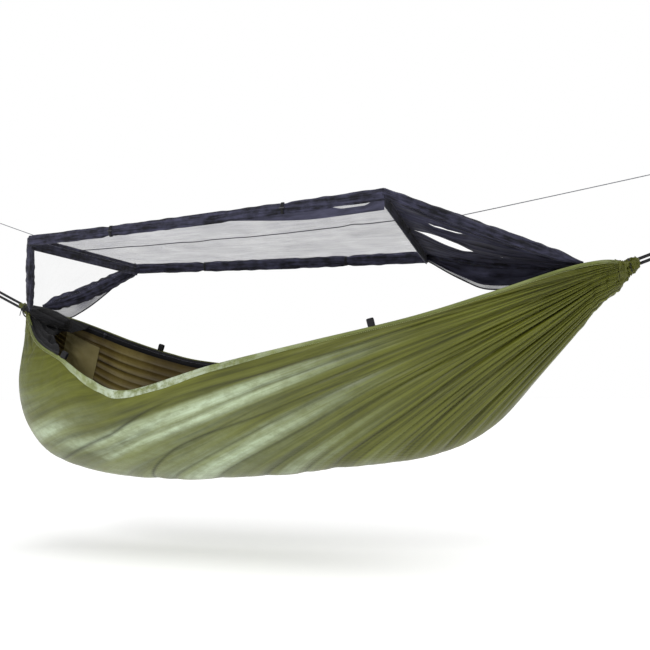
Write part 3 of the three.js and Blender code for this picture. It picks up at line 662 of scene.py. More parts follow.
def add_suspension_cords():
    """The doubled black cord at each end."""
    for end in SIDES:
        line = curve_through(suspension_points(end), 110)
        cord = round_object(f"doubled_cord_{end}", line, SUSPENSION_CORD, 14, up=(0, 1, 0))
        dress(cord, CORD, [f"suspension_loop_{end}"])


RODS = {
    "left": {"x": -0.850, "z": 0.211, "tilt": 0.0},
    "right": {"x": 0.400, "z": 0.231, "tilt": math.radians(-6.8)},
}
ELASTICS = {"left": (math.radians(19.9), 0.500), "right": (math.radians(8.2), 0.860)}
SLEEVE_THICKNESS, SLEEVE_HEIGHT = 0.011, 0.036


def elastic_line(end):
    """The straight cord from the rod's tab to its hook, with the slight sag of a light taut cord."""
    side, rod = SIDES[end], RODS[end]
    angle, length = ELASTICS[end]
    start = point(rod["x"] + side * (SLEEVE_THICKNESS / 2 + 0.0025), 0, rod["z"] - 0.002)
    direction = np.array([side * math.cos(angle), 0, math.sin(angle)])
    shares = np.linspace(0, 1, 61)
    line = start + shares[:, None] * direction * length
    line[:, 2] -= 0.0015 * np.sin(np.pi * shares)
    return line


def add_elastic_cords():
    """The thin cord that steadies each rod. It stretches between the hammock and its hook's anchor."""
    for end in SIDES:
        line = elastic_line(end)
        cord = round_object(f"elastic_cord_{end}", line, ELASTIC_CORD, 10, up=(0, 1, 0))
        cord.data.materials.append(ELASTIC)
        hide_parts(f"ridge_elastic_{end}")
        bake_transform(cord)


add_suspension_cords()
add_elastic_cords()


# ---- The hammock's cloth ----

# The cloth's sections along its length, in millimetres: rim x, keel x, front and back half width,
# front rim z, back rim z, keel z, and how much the wall bellies out.
STATIONS = np.array([
    [-1125, -1125, 18, 18, 8, 8, -24, 0],
    [-1075, -1120, 55, 55, -52, -6, -200, 0.24],
    [-1000, -1095, 125, 110, -112, -30, -360, 0.28],
    [-915, -1030, 185, 165, -156, -67, -490, 0.24],
    [-800, -910, 230, 220, -205, -118, -585, 0.17],
    [-660, -720, 270, 265, -278, -168, -628, 0.1],
    [-500, -500, 297, 300, -319, -207, -640, 0.05],
    [-180, -180, 325, 325, -242, -235, -622, 0],
    [130, 130, 310, 310, -176, -205, -588, 0],
    [450, 450, 260, 260, -105, -135, -548, 0],
    [675, 675, 200, 200, -37, -60, -435, 0],
    [900, 900, 115, 115, 40, 30, -190, 0],
    [1020, 1020, 62, 62, 68, 68, -48, 0],
    [1088, 1088, 19, 19, 66, 66, 34, 0],
], float)
STATIONS[:, :7] /= 1000
LAST_STATION = len(STATIONS) - 1
CLOTH_START, CLOTH_END = 0.6, 12.45
LAYER_GAP = 0.004  # from the outer layer's face to the inner layer's
BUNCHED_OUT = 0.017  # how far the bunched cloth stands out at the right gather
INNER_PLEATS, INNER_PLEAT_DEPTH = 23, 0.011  # the lining's pleats from rim to keel, and their depth


def station_at(place):
    """A row of the table at any place along the hammock, smooth through the rows."""
    place = np.asarray(place, float)
    first = np.clip(np.floor(place).astype(int), 0, LAST_STATION - 1)
    t = (place - first)[..., None]

    def row(i):
        return STATIONS[np.clip(i, 0, LAST_STATION)]

    before, a, b, after = row(first - 1), row(first), row(first + 1), row(first + 2)
    bend = (2 * t**3 - 3 * t**2 + 1) * a + (3 * t**2 - 2 * t**3) * b
    return bend + (t**3 - 2 * t**2 + t) * (b - before) / 2 + (t**3 - t**2) * (after - a) / 2


def body_point(place, girth):
    """A point of the smooth base. girth runs from -1 at the front rim through 0 at the keel to 1."""
    place, girth = np.broadcast_arrays(np.asarray(place, float), np.asarray(girth, float))
    s = station_at(place)
    angle = np.abs(girth) * np.pi / 2
    climb = 1 - np.cos(angle)
    half = np.where(girth < 0, s[..., 2], s[..., 3])
    rim_z = np.where(girth < 0, s[..., 4], s[..., 5])
    reach = half * (np.sin(angle) + s[..., 7] * np.sin(2 * angle))
    x = s[..., 1] + (s[..., 0] - s[..., 1]) * climb
    z = s[..., 6] + (rim_z - s[..., 6]) * climb
    return np.stack([x, np.sign(girth) * reach, z], axis=-1) + PLACED


def body_normal(place, girth):
    """The direction that points out of the hammock."""
    small = 0.01
    ahead = np.minimum(girth + small, 1)
    across = body_point(place, ahead) - body_point(place, ahead - small)
    along = body_point(place + small, girth) - body_point(place - small, girth)
    return unit(np.cross(across, along))


# where the creases start from at each gather, and the steepness in degrees of the deepest long one
RIGHT_FAN, LEFT_FAN, LONG_CREASE = (1.14, 0, 0.08), (-1.16, 0, 0.03), 22.7
# how far the creases stand out: the long ones, those between them, and the fine ones at each gather
LONG_HEIGHT, SHORT_HEIGHT, FINE_HEIGHT, PUCKER_HEIGHT = 0.012, 0.008, 0.007, 0.008
# the painted silvery highlight streaks' steepness and how far apart they are, in degrees
PAINTED_HIGHLIGHT_STREAK, STREAK_SPACING = 18.8, 6.2


def wander(lines, place, seed):
    """Lets a set of creases stray a little from straight lines."""
    return lines + 0.22 * value_noise(place * 0.9, lines * 0.4, seed)


def line_depth(lines, place, seed):
    """How deep each crease is along its length."""
    return 0.62 + 0.38 * value_noise(lines * 0.7 + 9.3, place * 0.55, seed + 1)


def creases(lines, place, seed):
    """Puffed ridges between narrow valleys, one for each whole number of lines, of uneven depth."""
    lines = wander(lines, place, seed)
    return (np.abs(np.sin(np.pi * lines)) ** 0.6 - 0.75) * line_depth(lines, place, seed)


def fan_angle(place, girth, at, side):
    """How steeply a straight line from a gather falls to a point of the wall, in degrees."""
    away = body_point(place, girth) - point(*at)
    return np.degrees(np.arctan2(-away[..., 2], side * away[..., 0]))


def pleat_sets(place, girth):
    """The three sets of creases, each as (lines, seed, height). They are straight and fan out from the
    right gather, all the way to the low left end. The cloth also puckers under the left gather."""
    fan = fan_angle(place, girth, RIGHT_FAN, -1)
    puckers = fan_angle(place, girth, LEFT_FAN, 1) / 7
    below_rim = smoothstep(15.2, 18.0, fan)
    # the low belly at the right is drawn smooth
    belly = smoothstep(0.66, 0.92, 1 - np.abs(girth)) * smoothstep(7.6, 8.6, place)
    smooth = 1 - 0.85 * belly * smoothstep(11.0, 9.8, place)
    right, reach_left = smoothstep(7.2, 11.5, place), smoothstep(1.6, 5.0, place)
    long_reach = smooth * reach_left * (0.15 + 0.85 * below_rim)
    short_reach = smooth * smoothstep(2.0, 7.5, place) * (below_rim + right) / 1.4
    fine_height = FINE_HEIGHT * smooth * smoothstep(6.6, 9.6, place)
    return [
        ((fan - LONG_CREASE) / 5.6, 11, LONG_HEIGHT * long_reach),
        ((fan - LONG_CREASE) / 2.5 + 0.5, 23, SHORT_HEIGHT * short_reach),
        (
            np.where(place < 5, puckers, fan / 1.25), 37,
            fine_height + PUCKER_HEIGHT * smoothstep(2.9, 0.9, place),
        ),
    ]


def paint_creases(sheet, sets, place):
    """Keeps where a sheet's creases run, and how deep they are, for its material's bump and for the painted
    shade and highlights along them.
    """
    lines, depths = [], []
    for line, seed, height in sets:
        lines.append(wander(np.broadcast_arrays(line, place)[0], place, seed))
        depths.append(line_depth(lines[-1], place, seed) * np.minimum(1, height / 0.009))
    for name, values in (("crease_lines", lines), ("crease_depths", depths)):
        layer = sheet.data.attributes.new(name, "FLOAT_VECTOR", "POINT")
        layer.data.foreach_set("vector", np.stack(values, axis=-1).astype(np.float32).ravel())


def gloss_and_painted_highlight_mask(place, girth):
    """Where the cloth gets a painted silvery highlight and a slightly smoother finish: in an arc round the
    low left end, and in streaks that run from there towards the right gather."""
    from_rim = 1 - np.abs(girth)
    fan = fan_angle(place, girth, RIGHT_FAN, -1)
    middle = 0.44 + 0.22 * smoothstep(4.8, 2.3, place)
    arc = 0.75 * np.exp(-(((from_rim - middle) / 0.12) ** 2)) * smoothstep(2.2, 4.2, place)
    streaks = smoothstep(-0.5, 0.8, np.cos(2 * np.pi * (fan - PAINTED_HIGHLIGHT_STREAK) / STREAK_SPACING))
    streaks = streaks * smoothstep(16.0, 17.8, fan) * smoothstep(9.2, 6.8, place)
    low = smoothstep(1.0, 0.84, from_rim + 0.4 * smoothstep(6.6, 5.0, place))
    blend = smoothstep(4.2, 5.8, place)
    # a mild painted highlight over the left half
    plain = 0.26 * smoothstep(9.5, 5.5, place) * smoothstep(0.0, 0.5, from_rim)
    return np.maximum(plain, arc * (1 - blend) + 0.9 * streaks * blend * low)


def pleats(place, girth):
    """How far the gathered cloth stands out from the smooth base: its creases, a soft unevenness, a
    crumpled rim, and the bunched cloth near the right gather."""
    from_rim = 1 - np.abs(girth)
    half_width = station_at(place)[..., 2]
    sets = pleat_sets(place, girth)
    drawn = np.minimum(1, half_width / 0.11) * sum(
        height * creases(lines, place, seed) for lines, seed, height in sets
    )
    soft = 0.007 * value_noise(place * 0.8 + girth, girth * 3.1 + 4, 61) * np.minimum(1, half_width / 0.2)
    rumple = 0.0025 * value_noise(place * 5.0, girth * 11, 67) * smoothstep(0.35, 0.0, from_rim)
    rumple += 0.006 * value_noise(place * 8.0, girth * 7, 69) * smoothstep(11.0, 12.2, place)
    rumple += BUNCHED_OUT * smoothstep(11.7, 12.45, place)
    return (drawn + rumple) * smoothstep(0.0, 0.05, from_rim) + soft * smoothstep(0.0, 0.2, from_rim)


def cloth(place, girth, depth=0.0):
    """A point of the pleated cloth, or of what lies at some depth inside it."""
    place, girth = np.broadcast_arrays(np.asarray(place, float), np.asarray(girth, float))
    out = pleats(place, girth) - depth
    return body_point(place, girth) + body_normal(place, girth) * out[..., None]


def girth_below_rim(place, side, height):
    """The girth that lies a given height below a rim."""
    s = station_at(place)
    rim_z = s[..., 4] if side < 0 else s[..., 5]
    return side * (1 - height / ((rim_z - s[..., 6]) * np.pi / 2))


def base_grid(start, finish, lengths, girths):
    """Places down a grid over the whole base, and girths across it."""
    return np.linspace(start, finish, lengths)[:, None], np.linspace(-1, 1, girths)[None, :]


def add_base():
    """The two layers of the base. The inner one is pleated along the back wall at the left."""
    rows_and_columns = ((300, 480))
    place, girth = base_grid(CLOTH_START - 0.12, CLOTH_END + 0.1, *rows_and_columns)
    outer = sheet_object("outer_shell", cloth(place, girth))
    paint_creases(outer, pleat_sets(place, girth), place)
    # where the base is painted with a silvery highlight, and made a little smoother
    paint(outer, "gloss_and_painted_highlight", gloss_and_painted_highlight_mask(place, girth))
    dress(outer, OLIVE, ["base_outer_layer"])
    rows_and_columns = ((240, 380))
    place, girth = base_grid(CLOTH_START, CLOTH_END, *rows_and_columns)
    pulled = smoothstep(7.5, 2.5, place) * smoothstep(0.0, 0.25, girth) * smoothstep(1.0, 0.9, girth)
    inner_lines = (1 - np.abs(girth)) * INNER_PLEATS
    inner_pleats = INNER_PLEAT_DEPTH * pulled * (0.9 - creases(inner_lines, place, 77)) * 0.7
    inner = sheet_object("inner_shell", cloth(place, girth, LAYER_GAP + inner_pleats))
    none = np.zeros_like(inner_lines)
    # the lining's pleats, for its bump and for painted shade in their valleys and highlights on their crests
    paint_creases(inner, [(inner_lines, 77, 0.009 * pulled), (none, 1, none), (none, 1, none)], place)
    dress(inner, INNER, ["base_inner_layer"])
    return outer, inner


# the hem's and the zip tape's lines over a rim, each as how far down (a share of the hem's height, or
# metres) and how far out of the hammock or into it
HEM_TURN = [
    (1.0, 0.0008), (0.6, 0.0016), (0.25, 0.0022), (0.0, 0.0016),
    (0.0, -0.0045), (0.3, -0.0062), (0.6, -0.0062),
]
HEM_HEIGHT, LOOSE_HEM_HEIGHT = 0.008, 0.030
ZIP_ROWS = [(0.001, 0.0075), (0.004, 0.0092), (0.016, 0.0094), (0.028, 0.0094), (0.030, 0.0078)]


def add_rims():
    """The folded olive edge with its stitching, and the black zip tape that runs inside it."""
    for name, side in FACES.items():
        place = np.linspace(CLOTH_START, CLOTH_END, 260)
        fold = 0.5 + 0.5 * value_noise(place * 3.5, side * 4.0, 83)
        # the front hem hangs loose and wide at the low left, and is painted with a silvery highlight there
        loose = smoothstep(3.6, 5.0, place) * smoothstep(8.4, 6.2, place) * (side < 0)
        height = HEM_HEIGHT + (LOOSE_HEM_HEIGHT - HEM_HEIGHT) * loose * (0.6 + 0.4 * fold)
        flare = 0.0008 + 0.009 * loose * fold
        columns = []
        for down, out in HEM_TURN:
            girth = girth_below_rim(place, side, height * down)
            waver = flare * (down < 0.7) * (0.4 + 0.6 * value_noise(place * 9, down * 5.0, 89)) * (out > 0)
            strip = cloth(place, girth) + body_normal(place, girth) * (out + waver)[:, None]
            strip[:, 2] += 0.0022 * (down < 0.1)
            columns.append(strip)
        hem = sheet_object(f"{name}_hem_fold", np.stack(columns, axis=1))
        # the loose part of the front hem is painted with a silvery highlight
        paint(hem, "gloss_and_painted_highlight", np.repeat(loose[:, None], len(HEM_TURN), axis=1))
        hem.modifiers.new("smooth", "SUBSURF").levels = 1
        apply_modifiers(hem)
        # the front hem takes the painted-lit copy of the olive nylon, the back hem the plain one
        dress(hem, PAINTED_LIT_OLIVE_HEM if side < 0 else OLIVE, [f"{name}_hem"])
        rim_length = line_length(cloth(place, np.full_like(place, side)))
        add_stitches(f"{name}_hem_stitches", place, side)

        grid = [cloth(place, girth_below_rim(place, side, down), depth) for down, depth in ZIP_ROWS]
        tape = sheet_object(f"{name}_zip_band", np.stack(grid, axis=1))
        dress(tape, TAPE, [f"{name}_zip_tape"])
        add_zip_teeth(name, side)


STITCH = {"count": 620, "share": 0.64, "half_width": 0.0007, "below": 0.010, "out": 0.0028}


def add_stitches(name, place, side):
    """A row of short stitches along a rim."""
    count = STITCH["count"]
    centres = np.linspace(place[0] + 0.05, place[-1] - 0.05, count)
    half = (place[-1] - place[0]) / count * STITCH["share"] / 2
    ends = (centres - half, centres + half)
    middle = [cloth(end, girth_below_rim(end, side, STITCH["below"])) for end in ends]
    normal = body_normal(centres, girth_below_rim(centres, side, STITCH["below"]))
    across = np.cross(normal, unit(middle[1] - middle[0])) * STITCH["half_width"]
    low, high = normal * (STITCH["out"] - 0.0006), normal * (STITCH["out"] + 0.0004)
    round_stitch = ((0, -1), (0, 1), (1, 1), (1, -1))
    corners = [middle[end] + level + sign * across for level in (low, high) for end, sign in round_stitch]
    box = [[0, 1, 2, 3], [7, 6, 5, 4], [0, 4, 5, 1], [1, 5, 6, 2], [2, 6, 7, 3], [3, 7, 4, 0]]
    corners = np.stack(corners, axis=1).reshape(-1, 3)
    dress(mesh_object(name, corners, repeat_faces(box, count)), OLIVE_THREAD)


COIL = {"below": 0.012, "inside": 0.0104, "thin": 0.0020, "thick": 0.0032}


def add_zip_teeth(name, side):
    """The coil of the zip: a row of teeth on the tape, thin and thick by turns, as one long piece."""
    place = np.linspace(CLOTH_START + 0.3, CLOTH_END - 0.3, 900)
    teeth = np.where(np.arange(len(place)) % 2, COIL["thick"], COIL["thin"])
    path = cloth(place, girth_below_rim(place, side, COIL["below"]), COIL["inside"])
    coil = bar_object(f"{name}_zip_coil", path, teeth, 6, up=(0, 0, 1))
    dress(coil, DARK_METAL)


# the lining pocket's reach along the hammock and round its girth, and how far inside the outer layer it is
POCKET_PLACES, POCKET_GIRTHS, POCKET_DEPTH = (CLOTH_START + 1.27, CLOTH_START + 2.54), (0.66, 0.9), 0.0135


def add_pocket():
    """The lining pocket on the back wall at the left end, with a bound edge along its top."""
    u, v = grid_shares(60, 50)
    place = np.linspace(*POCKET_PLACES, 60)[:, None]
    girth = np.linspace(*POCKET_GIRTHS, 50)[None, :]
    slack = 0.006 * np.sin(np.pi * u) * np.sin(np.pi * v) + 0.0015 * value_noise(u * 9, v * 7, 97)
    grid = cloth(place, girth, POCKET_DEPTH + np.abs(slack))
    panel = sheet_object("pocket_panel", grid)
    dress(panel, POCKET, ["inner_pocket"])
    dress(round_object("pocket_binding", grid[:, -1], 0.0044, 8), INNER)


base_pieces = add_base()
add_rims()
add_pocket()


# ---- Gathered ends ----


def closed_section(place, count):
    """A ring round the cloth's section: along the pleated cloth and back over the top."""
    lower = cloth(np.full(count, place), np.linspace(-1, 1, count), -0.0012)
    shares = np.linspace(0, 1, count // 2)[1:-1, None]
    over = lower[-1] + shares * (lower[0] - lower[-1])
    bulge = 0.10 * np.linalg.norm(lower[0] - lower[-1]) * np.sin(np.pi * shares)
    over[:, 2:] += bulge + 0.002 * value_noise(shares * 9, place * 5, 101)
    return np.vstack([lower, over])


# how full each end's bunched cloth is on its way from the base to the tip
END_FULLNESS = {
    "left": [1.0, 0.95, 0.9, 0.9, 0.85, 0.7, 0.3],
    "right": [1.0, 0.98, 0.96, 0.92, 0.82, 0.64, 0.34],
}
END_FOLDS = 17  # puffed folds round the bunched cloth


def add_end_channel(end):
    """The bunched cloth between the base and its lashing, closed and puffed between its folds."""
    side = SIDES[end]
    first, last = (CLOTH_START, 0.0) if side < 0 else (CLOTH_END, float(LAST_STATION))
    tip = gather_point(end) + suspension_direction(end) * (CHANNEL_TIP + SUSPENSION_CORD)
    rings = [closed_section(place, 150) for place in np.linspace(first, last, 34)]
    final = rings[-1]
    middle = final.mean(0)
    angle = full_turn(len(final))
    for along in np.linspace(0.03, 1, 30):
        size = np.interp(along, (0.0, 0.15, 0.3, 0.5, 0.75, 0.9, 1.0), END_FULLNESS[end])
        folds = creases(angle * END_FOLDS / (2 * np.pi), along * 3, 109)
        puff = 1 + (0.10 + 0.16 * smoothstep(0.5, 0.8, along)) * folds
        centre = middle + (tip - middle) * along
        rings.append(centre + (final - middle) * (size * puff)[:, None])
    rings = np.array(rings)
    # the whole channel is rumpled, more towards the tip
    rows = np.arange(len(rings))[:, None] / len(rings)
    crumple = 0.005 * value_noise(rows * 13, angle[None, :] * 3.2, 113)
    crumple = crumple + 0.003 * value_noise(rows * 31, angle[None, :] * 8, 127)
    outward = unit(rings - rings.mean(1, keepdims=True))
    rings = rings + outward * (crumple * smoothstep(0.02, 0.5, rows))[..., None]
    channel = loft_object(f"gathered_end_{end}", rings)
    dress(channel, OLIVE, [f"end_channel_{end}"])


def add_lashing(end):
    """Three turns of cord round the neck of the gather, with a knot and its tail."""
    side = SIDES[end]
    centre, size = node_box(f"gather_lashing_{end}")
    turns, wire = 3, 0.0026
    radius = size[1] / 2 - wire / 2
    angle = np.linspace(0, 2 * np.pi * turns, 46 * turns)
    along = np.linspace(-1, 1, len(angle)) * (turns - 1) / 2 * wire * 1.02
    path = centre + np.stack([along, radius * np.cos(angle), radius * np.sin(angle)], axis=1)
    coil = round_object(f"lashing_turns_{end}", path, wire, 10, up=(1, 0, 0))
    dress(coil, CORD, [f"gather_lashing_{end}"])
    knot_at = centre + np.array([side * 0.002, -radius - 0.001, 0.004])
    lobes = []
    for k in range(3):
        t = np.linspace(0, 2 * np.pi, 40, endpoint=False)
        ring = np.stack([0.0042 * np.cos(t), 0.002 * np.sin(2 * t), 0.0042 * np.sin(t)], axis=1)
        turn = Matrix.Rotation(k * 1.1, 3, "Y") @ Matrix.Rotation(k * 0.7, 3, "Z")
        lobes.append(round_object("lobe", ring @ np.array(turn) + knot_at, wire, 8, up=(0, 1, 0.1)))
    tail = [knot_at, knot_at + [0.001 * side, -0.006, -0.010], knot_at + [0.006 * side, -0.006, -0.026]]
    lobes.append(tube_object("lobe", tail, wire, 24, 8))
    dress(join(f"lashing_knot_{end}", lobes), CORD)


def add_skirt():
    """The bunched cloth that closes the net round the left gather: a creased lump, and a folded sheet
    between the two rims that reaches further along the front one."""
    share = np.linspace(0, 1, 70)[:, None]
    path = np.hstack([-1.135 + 0.185 * share, 0.002 + 0.010 * share, 0.006 - 0.068 * share]) + PLACED
    size = 0.30 + 0.62 * np.sin(np.pi * (0.06 + 0.8 * share)) ** 0.8
    angle = full_turn(140)
    folds = 1 + 0.16 * creases(angle[None, :] * 7 / (2 * np.pi) + share * 0.8, share * 3, 131)
    folds += 0.10 * value_noise(share * 8, np.cos(angle)[None, :] * 3, 137)
    lump = loft_object("net_skirt_bunch", sweep_rings(path, size * folds, wide=0.046, tall=0.034))
    dress(lump, SKIRT, ["head_net_skirt"])

    u, v = grid_shares(110, 90)
    front, back = (cloth(0.3 + reach * u[:, 0], side, -0.004) for reach, side in ((3.5, -1.0), (2.4, 1.0)))
    grid = between_lines(front, back, v)
    ragged = 1 - 0.5 * smoothstep(0.6, 1.0, u) * np.sin(np.pi * v) ** 2
    grid = grid[:1] + (grid - grid[:1]) * ragged[..., None]
    height = 0.016 * creases(v * 6 + 0.5 * u, u * 4, 139) + 0.010 * value_noise(u * 9, v * 6, 141)
    height = height - 0.035 * np.sin(np.pi * v) * u
    grid[..., 2] += height * smoothstep(0, 0.15, v) * smoothstep(1, 0.85, v)
    sheet = sheet_object("net_skirt_sheet", grid)
    dress(sheet, SKIRT)


def folded_sheet(name, edge_a, edge_b, rows, seed, folds=0, depth=0.0, across_folds=0, across_depth=0.0):
    """Cloth between two lines of points. folds run from one line to the other, across_folds along them."""
    u, v = grid_shares(len(edge_a), rows)
    grid = between_lines(edge_a, edge_b, v)
    normal = unit(np.cross(np.gradient(grid, axis=0), np.gradient(grid, axis=1)))
    held = smoothstep(0, 0.08, u) * smoothstep(1, 0.92, u)
    height = depth * creases(u * folds + 0.3 * v, v * 2.5, seed)
    height = height + across_depth * creases(v * across_folds + 0.2 * u, u * 3.5, seed + 1)
    height = height + 0.3 * (depth + across_depth) * value_noise(u * 7, v * 5, seed + 2)
    return sheet_object(name, grid + normal * (height * (0.25 + 0.75 * held))[..., None])


for end_name in SIDES:
    add_end_channel(end_name)
    add_lashing(end_name)
add_skirt()


# ---- The net ----

ROOF_HALF_WIDTH = 0.352


def rod_point(end, side, distance=ROOF_HALF_WIDTH):
    """The end of a rod on the front (-1) or back (1) side, or a point part of the way to it."""
    rod, reach = RODS[end], side * distance
    return point(rod["x"], reach * math.cos(rod["tilt"]), rod["z"] + reach * math.sin(rod["tilt"]))


def roof_edge(side, steps, inset=0.0):
    """The roof's long edge on one side, from the left rod to the right one."""
    return straight(*(rod_point(end, side, ROOF_HALF_WIDTH - inset) for end in SIDES), steps)


def add_roof():
    """The roof sheet, tight along its length, with a seam down its middle and pulls from the corners."""
    steps = 240
    front, back = roof_edge(-1, steps, 0.012), roof_edge(1, steps, 0.012)
    for edge in (front, back):
        edge[:, 0] += np.linspace(0.008, -0.008, steps)
    u, v = grid_shares(steps, 130)
    grid = between_lines(front, back, v)
    held = np.sin(np.pi * u) ** 0.5 * np.sin(np.pi * v) ** 0.5
    sag = 0.008 * np.sin(np.pi * u) * np.sin(np.pi * v)
    # a long diagonal pull from the front right corner towards the back edge's middle
    pull = np.exp(-(((v - 0.05) - (1 - u) * 2.6) / 0.06) ** 2) * smoothstep(0.6, 0.95, u)
    corner = smoothstep(0.75, 1.0, u) * creases(v * 9 + (1 - u) * 5, u * 4, 151)
    along = smoothstep(0.2, 0.6, u) * creases(v * 7, u * 3, 157)
    height = -sag + held * (0.006 * pull + 0.003 * corner + 0.0015 * along)
    height += 0.002 * held * value_noise(u * 18, v * 8, 163)
    grid = grid + np.array([0, 0, 1]) * height[..., None]
    roof = sheet_object("roof_net", grid)
    dress(roof, ROOF_NET, ["net_roof"])
    dress(round_object("roof_seam", grid[:, 52], 0.0032, 8), BINDING)


def add_door_roll(name, side):
    """A rolled-up door under the roof's long edge: loose turns of net, held by two ties."""
    steps = 260
    share = np.linspace(0, 1, steps)[:, None]
    path = roof_edge(side, steps)
    path[:, :1] += -0.004 + 0.008 * share
    path[:, 2:] -= 0.012 + 0.004 * np.sin(np.pi * share)
    angle = full_turn(72)
    folds = creases(angle[None, :] / (2 * np.pi) * 6 + 2.2 * share, share * 5, 171 + side)
    fullness = 1.08 if side < 0 else 1.18 + 0.12 * share
    tied = 1 - 0.22 * sum(np.exp(-(((share - tie) / 0.012) ** 2)) for tie in (0.25, 0.75))
    uneven = value_noise(share * 40, np.cos(angle) * 2, 177)
    radius = fullness * tied * (0.95 + 0.16 * folds + 0.08 * uneven)
    rolled = loft_object(f"{name}_rolled_door", sweep_rings(path, radius, wide=0.0072, tall=0.018))
    dress(rolled, BUNCHED, [f"{name}_door_roll"])
    if side < 0:
        add_front_door_edge(path, share[:, 0])


def add_front_door_edge(path, share):
    """The front door's loose edge, which shows below its roll at the right, with a slit."""
    strip_share = np.linspace(0.52, 1, 120)
    line = points_at(strip_share, share, path)
    low, high = line.copy(), line.copy()
    spread = smoothstep(0.52, 0.85, strip_share)
    slit = smoothstep(0.84, 0.90, strip_share) * smoothstep(0.985, 0.95, strip_share)
    high[:, 2] -= 0.008 + 0.018 * slit
    low[:, 2] -= 0.012 + 0.036 * spread
    edge = folded_sheet(
        "front_door_edge", high, low, 16, seed=181, across_folds=3, across_depth=0.003
    )
    dress(edge, LAYERED_NET)


# where each seam of the net meets the hammock, how much it sags, how thick its bunched cloth is from
# its middle, and how much taller it is than thick
SEAMS = {
    "front_left": (point(-1.090, -0.040, -0.006), 0.0, 0.0135, 1.0),
    "back_left": (point(-1.090, 0.040, 0.014), 0.016, 0.019, 1.45),
    "front_right": (point(0.962, -0.062, 0.062), 0.004, 0.016, 1.0),
    "back_right": (point(0.962, 0.050, 0.066), 0.010, 0.014, 1.0),
}


def seam_path(name, steps=140):
    """A seam's line from its roof corner down to the gather."""
    foot, sag = SEAMS[name][:2]
    face, end = name.split("_")
    path = straight(rod_point(end, FACES[face]) + [0, 0, -0.006], foot, steps)
    path[:, 2] -= sag * np.sin(np.pi * np.linspace(0, 1, steps))
    return path


def add_seam(name):
    """A bunched seam of the net, with long twisted folds."""
    path = seam_path(name)
    thick, wide = SEAMS[name][2:]
    share = np.linspace(0, 1, len(path))[:, None]
    turns = np.arange(56)[None, :] / 56
    folds = creases(turns * 6 + 1.3 * share, share * 4, 191)
    taper = (0.85 + 0.25 * np.sin(np.pi * share)) * (1 - 0.55 * smoothstep(0.86, 1.0, share))
    radius = thick * taper * (1.0 + 0.24 * folds + 0.12 * value_noise(share * 22, turns * 6, 193))
    seam = loft_object(f"seam_{name}", sweep_rings(path, radius, up=(0, 1, 0.2), wide=wide))
    dress(seam, BUNCHED, [f"net_seam_{name}"])


def add_left_panel():
    """The clear triangle of net over the left gather."""
    left = folded_sheet(
        "end_panel_left", seam_path("front_left", 60), seam_path("back_left", 60), 90,
        seed=201, across_folds=12, across_depth=0.003,
    )
    dress(left, CLEAR_NET, ["end_net_left"])


def add_right_ribbons():
    """The end panel at the right, bunched into three folded ribbons with two slits between them."""
    steps = 150
    front, back = seam_path("front_right", steps), seam_path("back_right", steps)
    down = np.linspace(0, 1, steps)

    def line_at(across):
        """A line from the rod to the gather. across runs from 0 at the front seam to 1 at the back."""
        line = front + across[:, None] * (back - front)
        line[:, 2] -= 0.004 * np.sin(np.pi * down) * np.sin(np.pi * across)
        return line

    slit_one = 0.075 * smoothstep(0.12, 0.2, down) * smoothstep(0.42, 0.3, down)
    slit_two = 0.16 * smoothstep(0.03, 0.22, down) * smoothstep(0.40, 0.28, down)
    middle = 0.50 + 0.22 * smoothstep(0.0, 0.45, down)
    borders = [
        (np.full_like(down, -0.01), np.full_like(down, 0.27)),
        (0.262 + slit_one, middle - slit_two / 2),
        (middle + slit_two / 2, np.full_like(down, 1.01)),
    ]
    ribbons = zip(("front", "middle", "back"), borders, (211, 216, 221), (4, 4, 7))
    for index, (name, (start, finish), seed, folds) in enumerate(ribbons):
        ribbon = folded_sheet(
            f"end_panel_right_{name}", line_at(start), line_at(finish), 80, seed=seed,
            across_folds=folds, across_depth=0.011,
        )
        dress(ribbon, LAYERED_NET, ["end_net_right"] if index == 0 else [])


# each open door's net, and how much of its drop is bunched thickly
FLAP_LOOKS = {
    "back_left": (FLAP_NET, 1.0),
    "front_left": (LAYERED_NET, 1.0),
    "front_right": (LAYERED_NET, 1.0),
    "back_right": (LAYERED_NET, 0.86),
}
# how far each open door hangs below its seam: shares of the seam's length, and the drop at each
FLAP_DROPS = {
    "back_left": ([0.0, 0.12, 0.3, 0.5, 0.7, 0.86, 0.97], [0.0, 0.006, 0.040, 0.070, 0.088, 0.055, 0.0]),
    "front_left": ([0.0, 0.3, 0.7, 1.0], [0.004, 0.010, 0.016, 0.0]),
    "front_right": ([0.0, 0.25, 0.6, 0.95], [0.010, 0.026, 0.022, 0.0]),
    "back_right": ([0.0, 0.18, 0.4, 0.66, 0.9], [0.018, 0.060, 0.100, 0.085, 0.0]),
}


def add_flap(name):
    """What hangs of an open door beside its seam, and the bound zip edge at its bottom."""
    steps = 130
    look, clear_from = FLAP_LOOKS[name]
    places, drops = FLAP_DROPS[name]
    share = np.linspace(places[0], places[-1], steps)
    upper = points_at(share, np.linspace(0, 1, steps), seam_path(name, steps))
    ease = np.interp(share, places, drops)
    ease = np.convolve(np.pad(ease, 8, "edge"), np.ones(17) / 17, "valid")
    lower = upper - ease[:, None] * np.array([0, 0.25 * FACES[name.split("_")[0]], 1.0])
    grids = [("", 0.0, clear_from, look)]
    if clear_from < 1:
        grids.append(("_hem", clear_from, 1.0, FLAP_NET))
    for suffix, start, finish, cloth_look in grids:
        top, bottom = (upper + part * (lower - upper) for part in (start, finish))
        flap = folded_sheet(
            f"door_flap_{name}{suffix}", top, bottom, 40, folds=6, depth=0.003, seed=231,
            across_folds=3, across_depth=0.005 * (finish - start),
        )
        dress(flap, cloth_look, [] if suffix else [f"net_flap_{name}"])
    dress(round_object(f"flap_edge_{name}", lower, 0.0052, 10), BINDING)


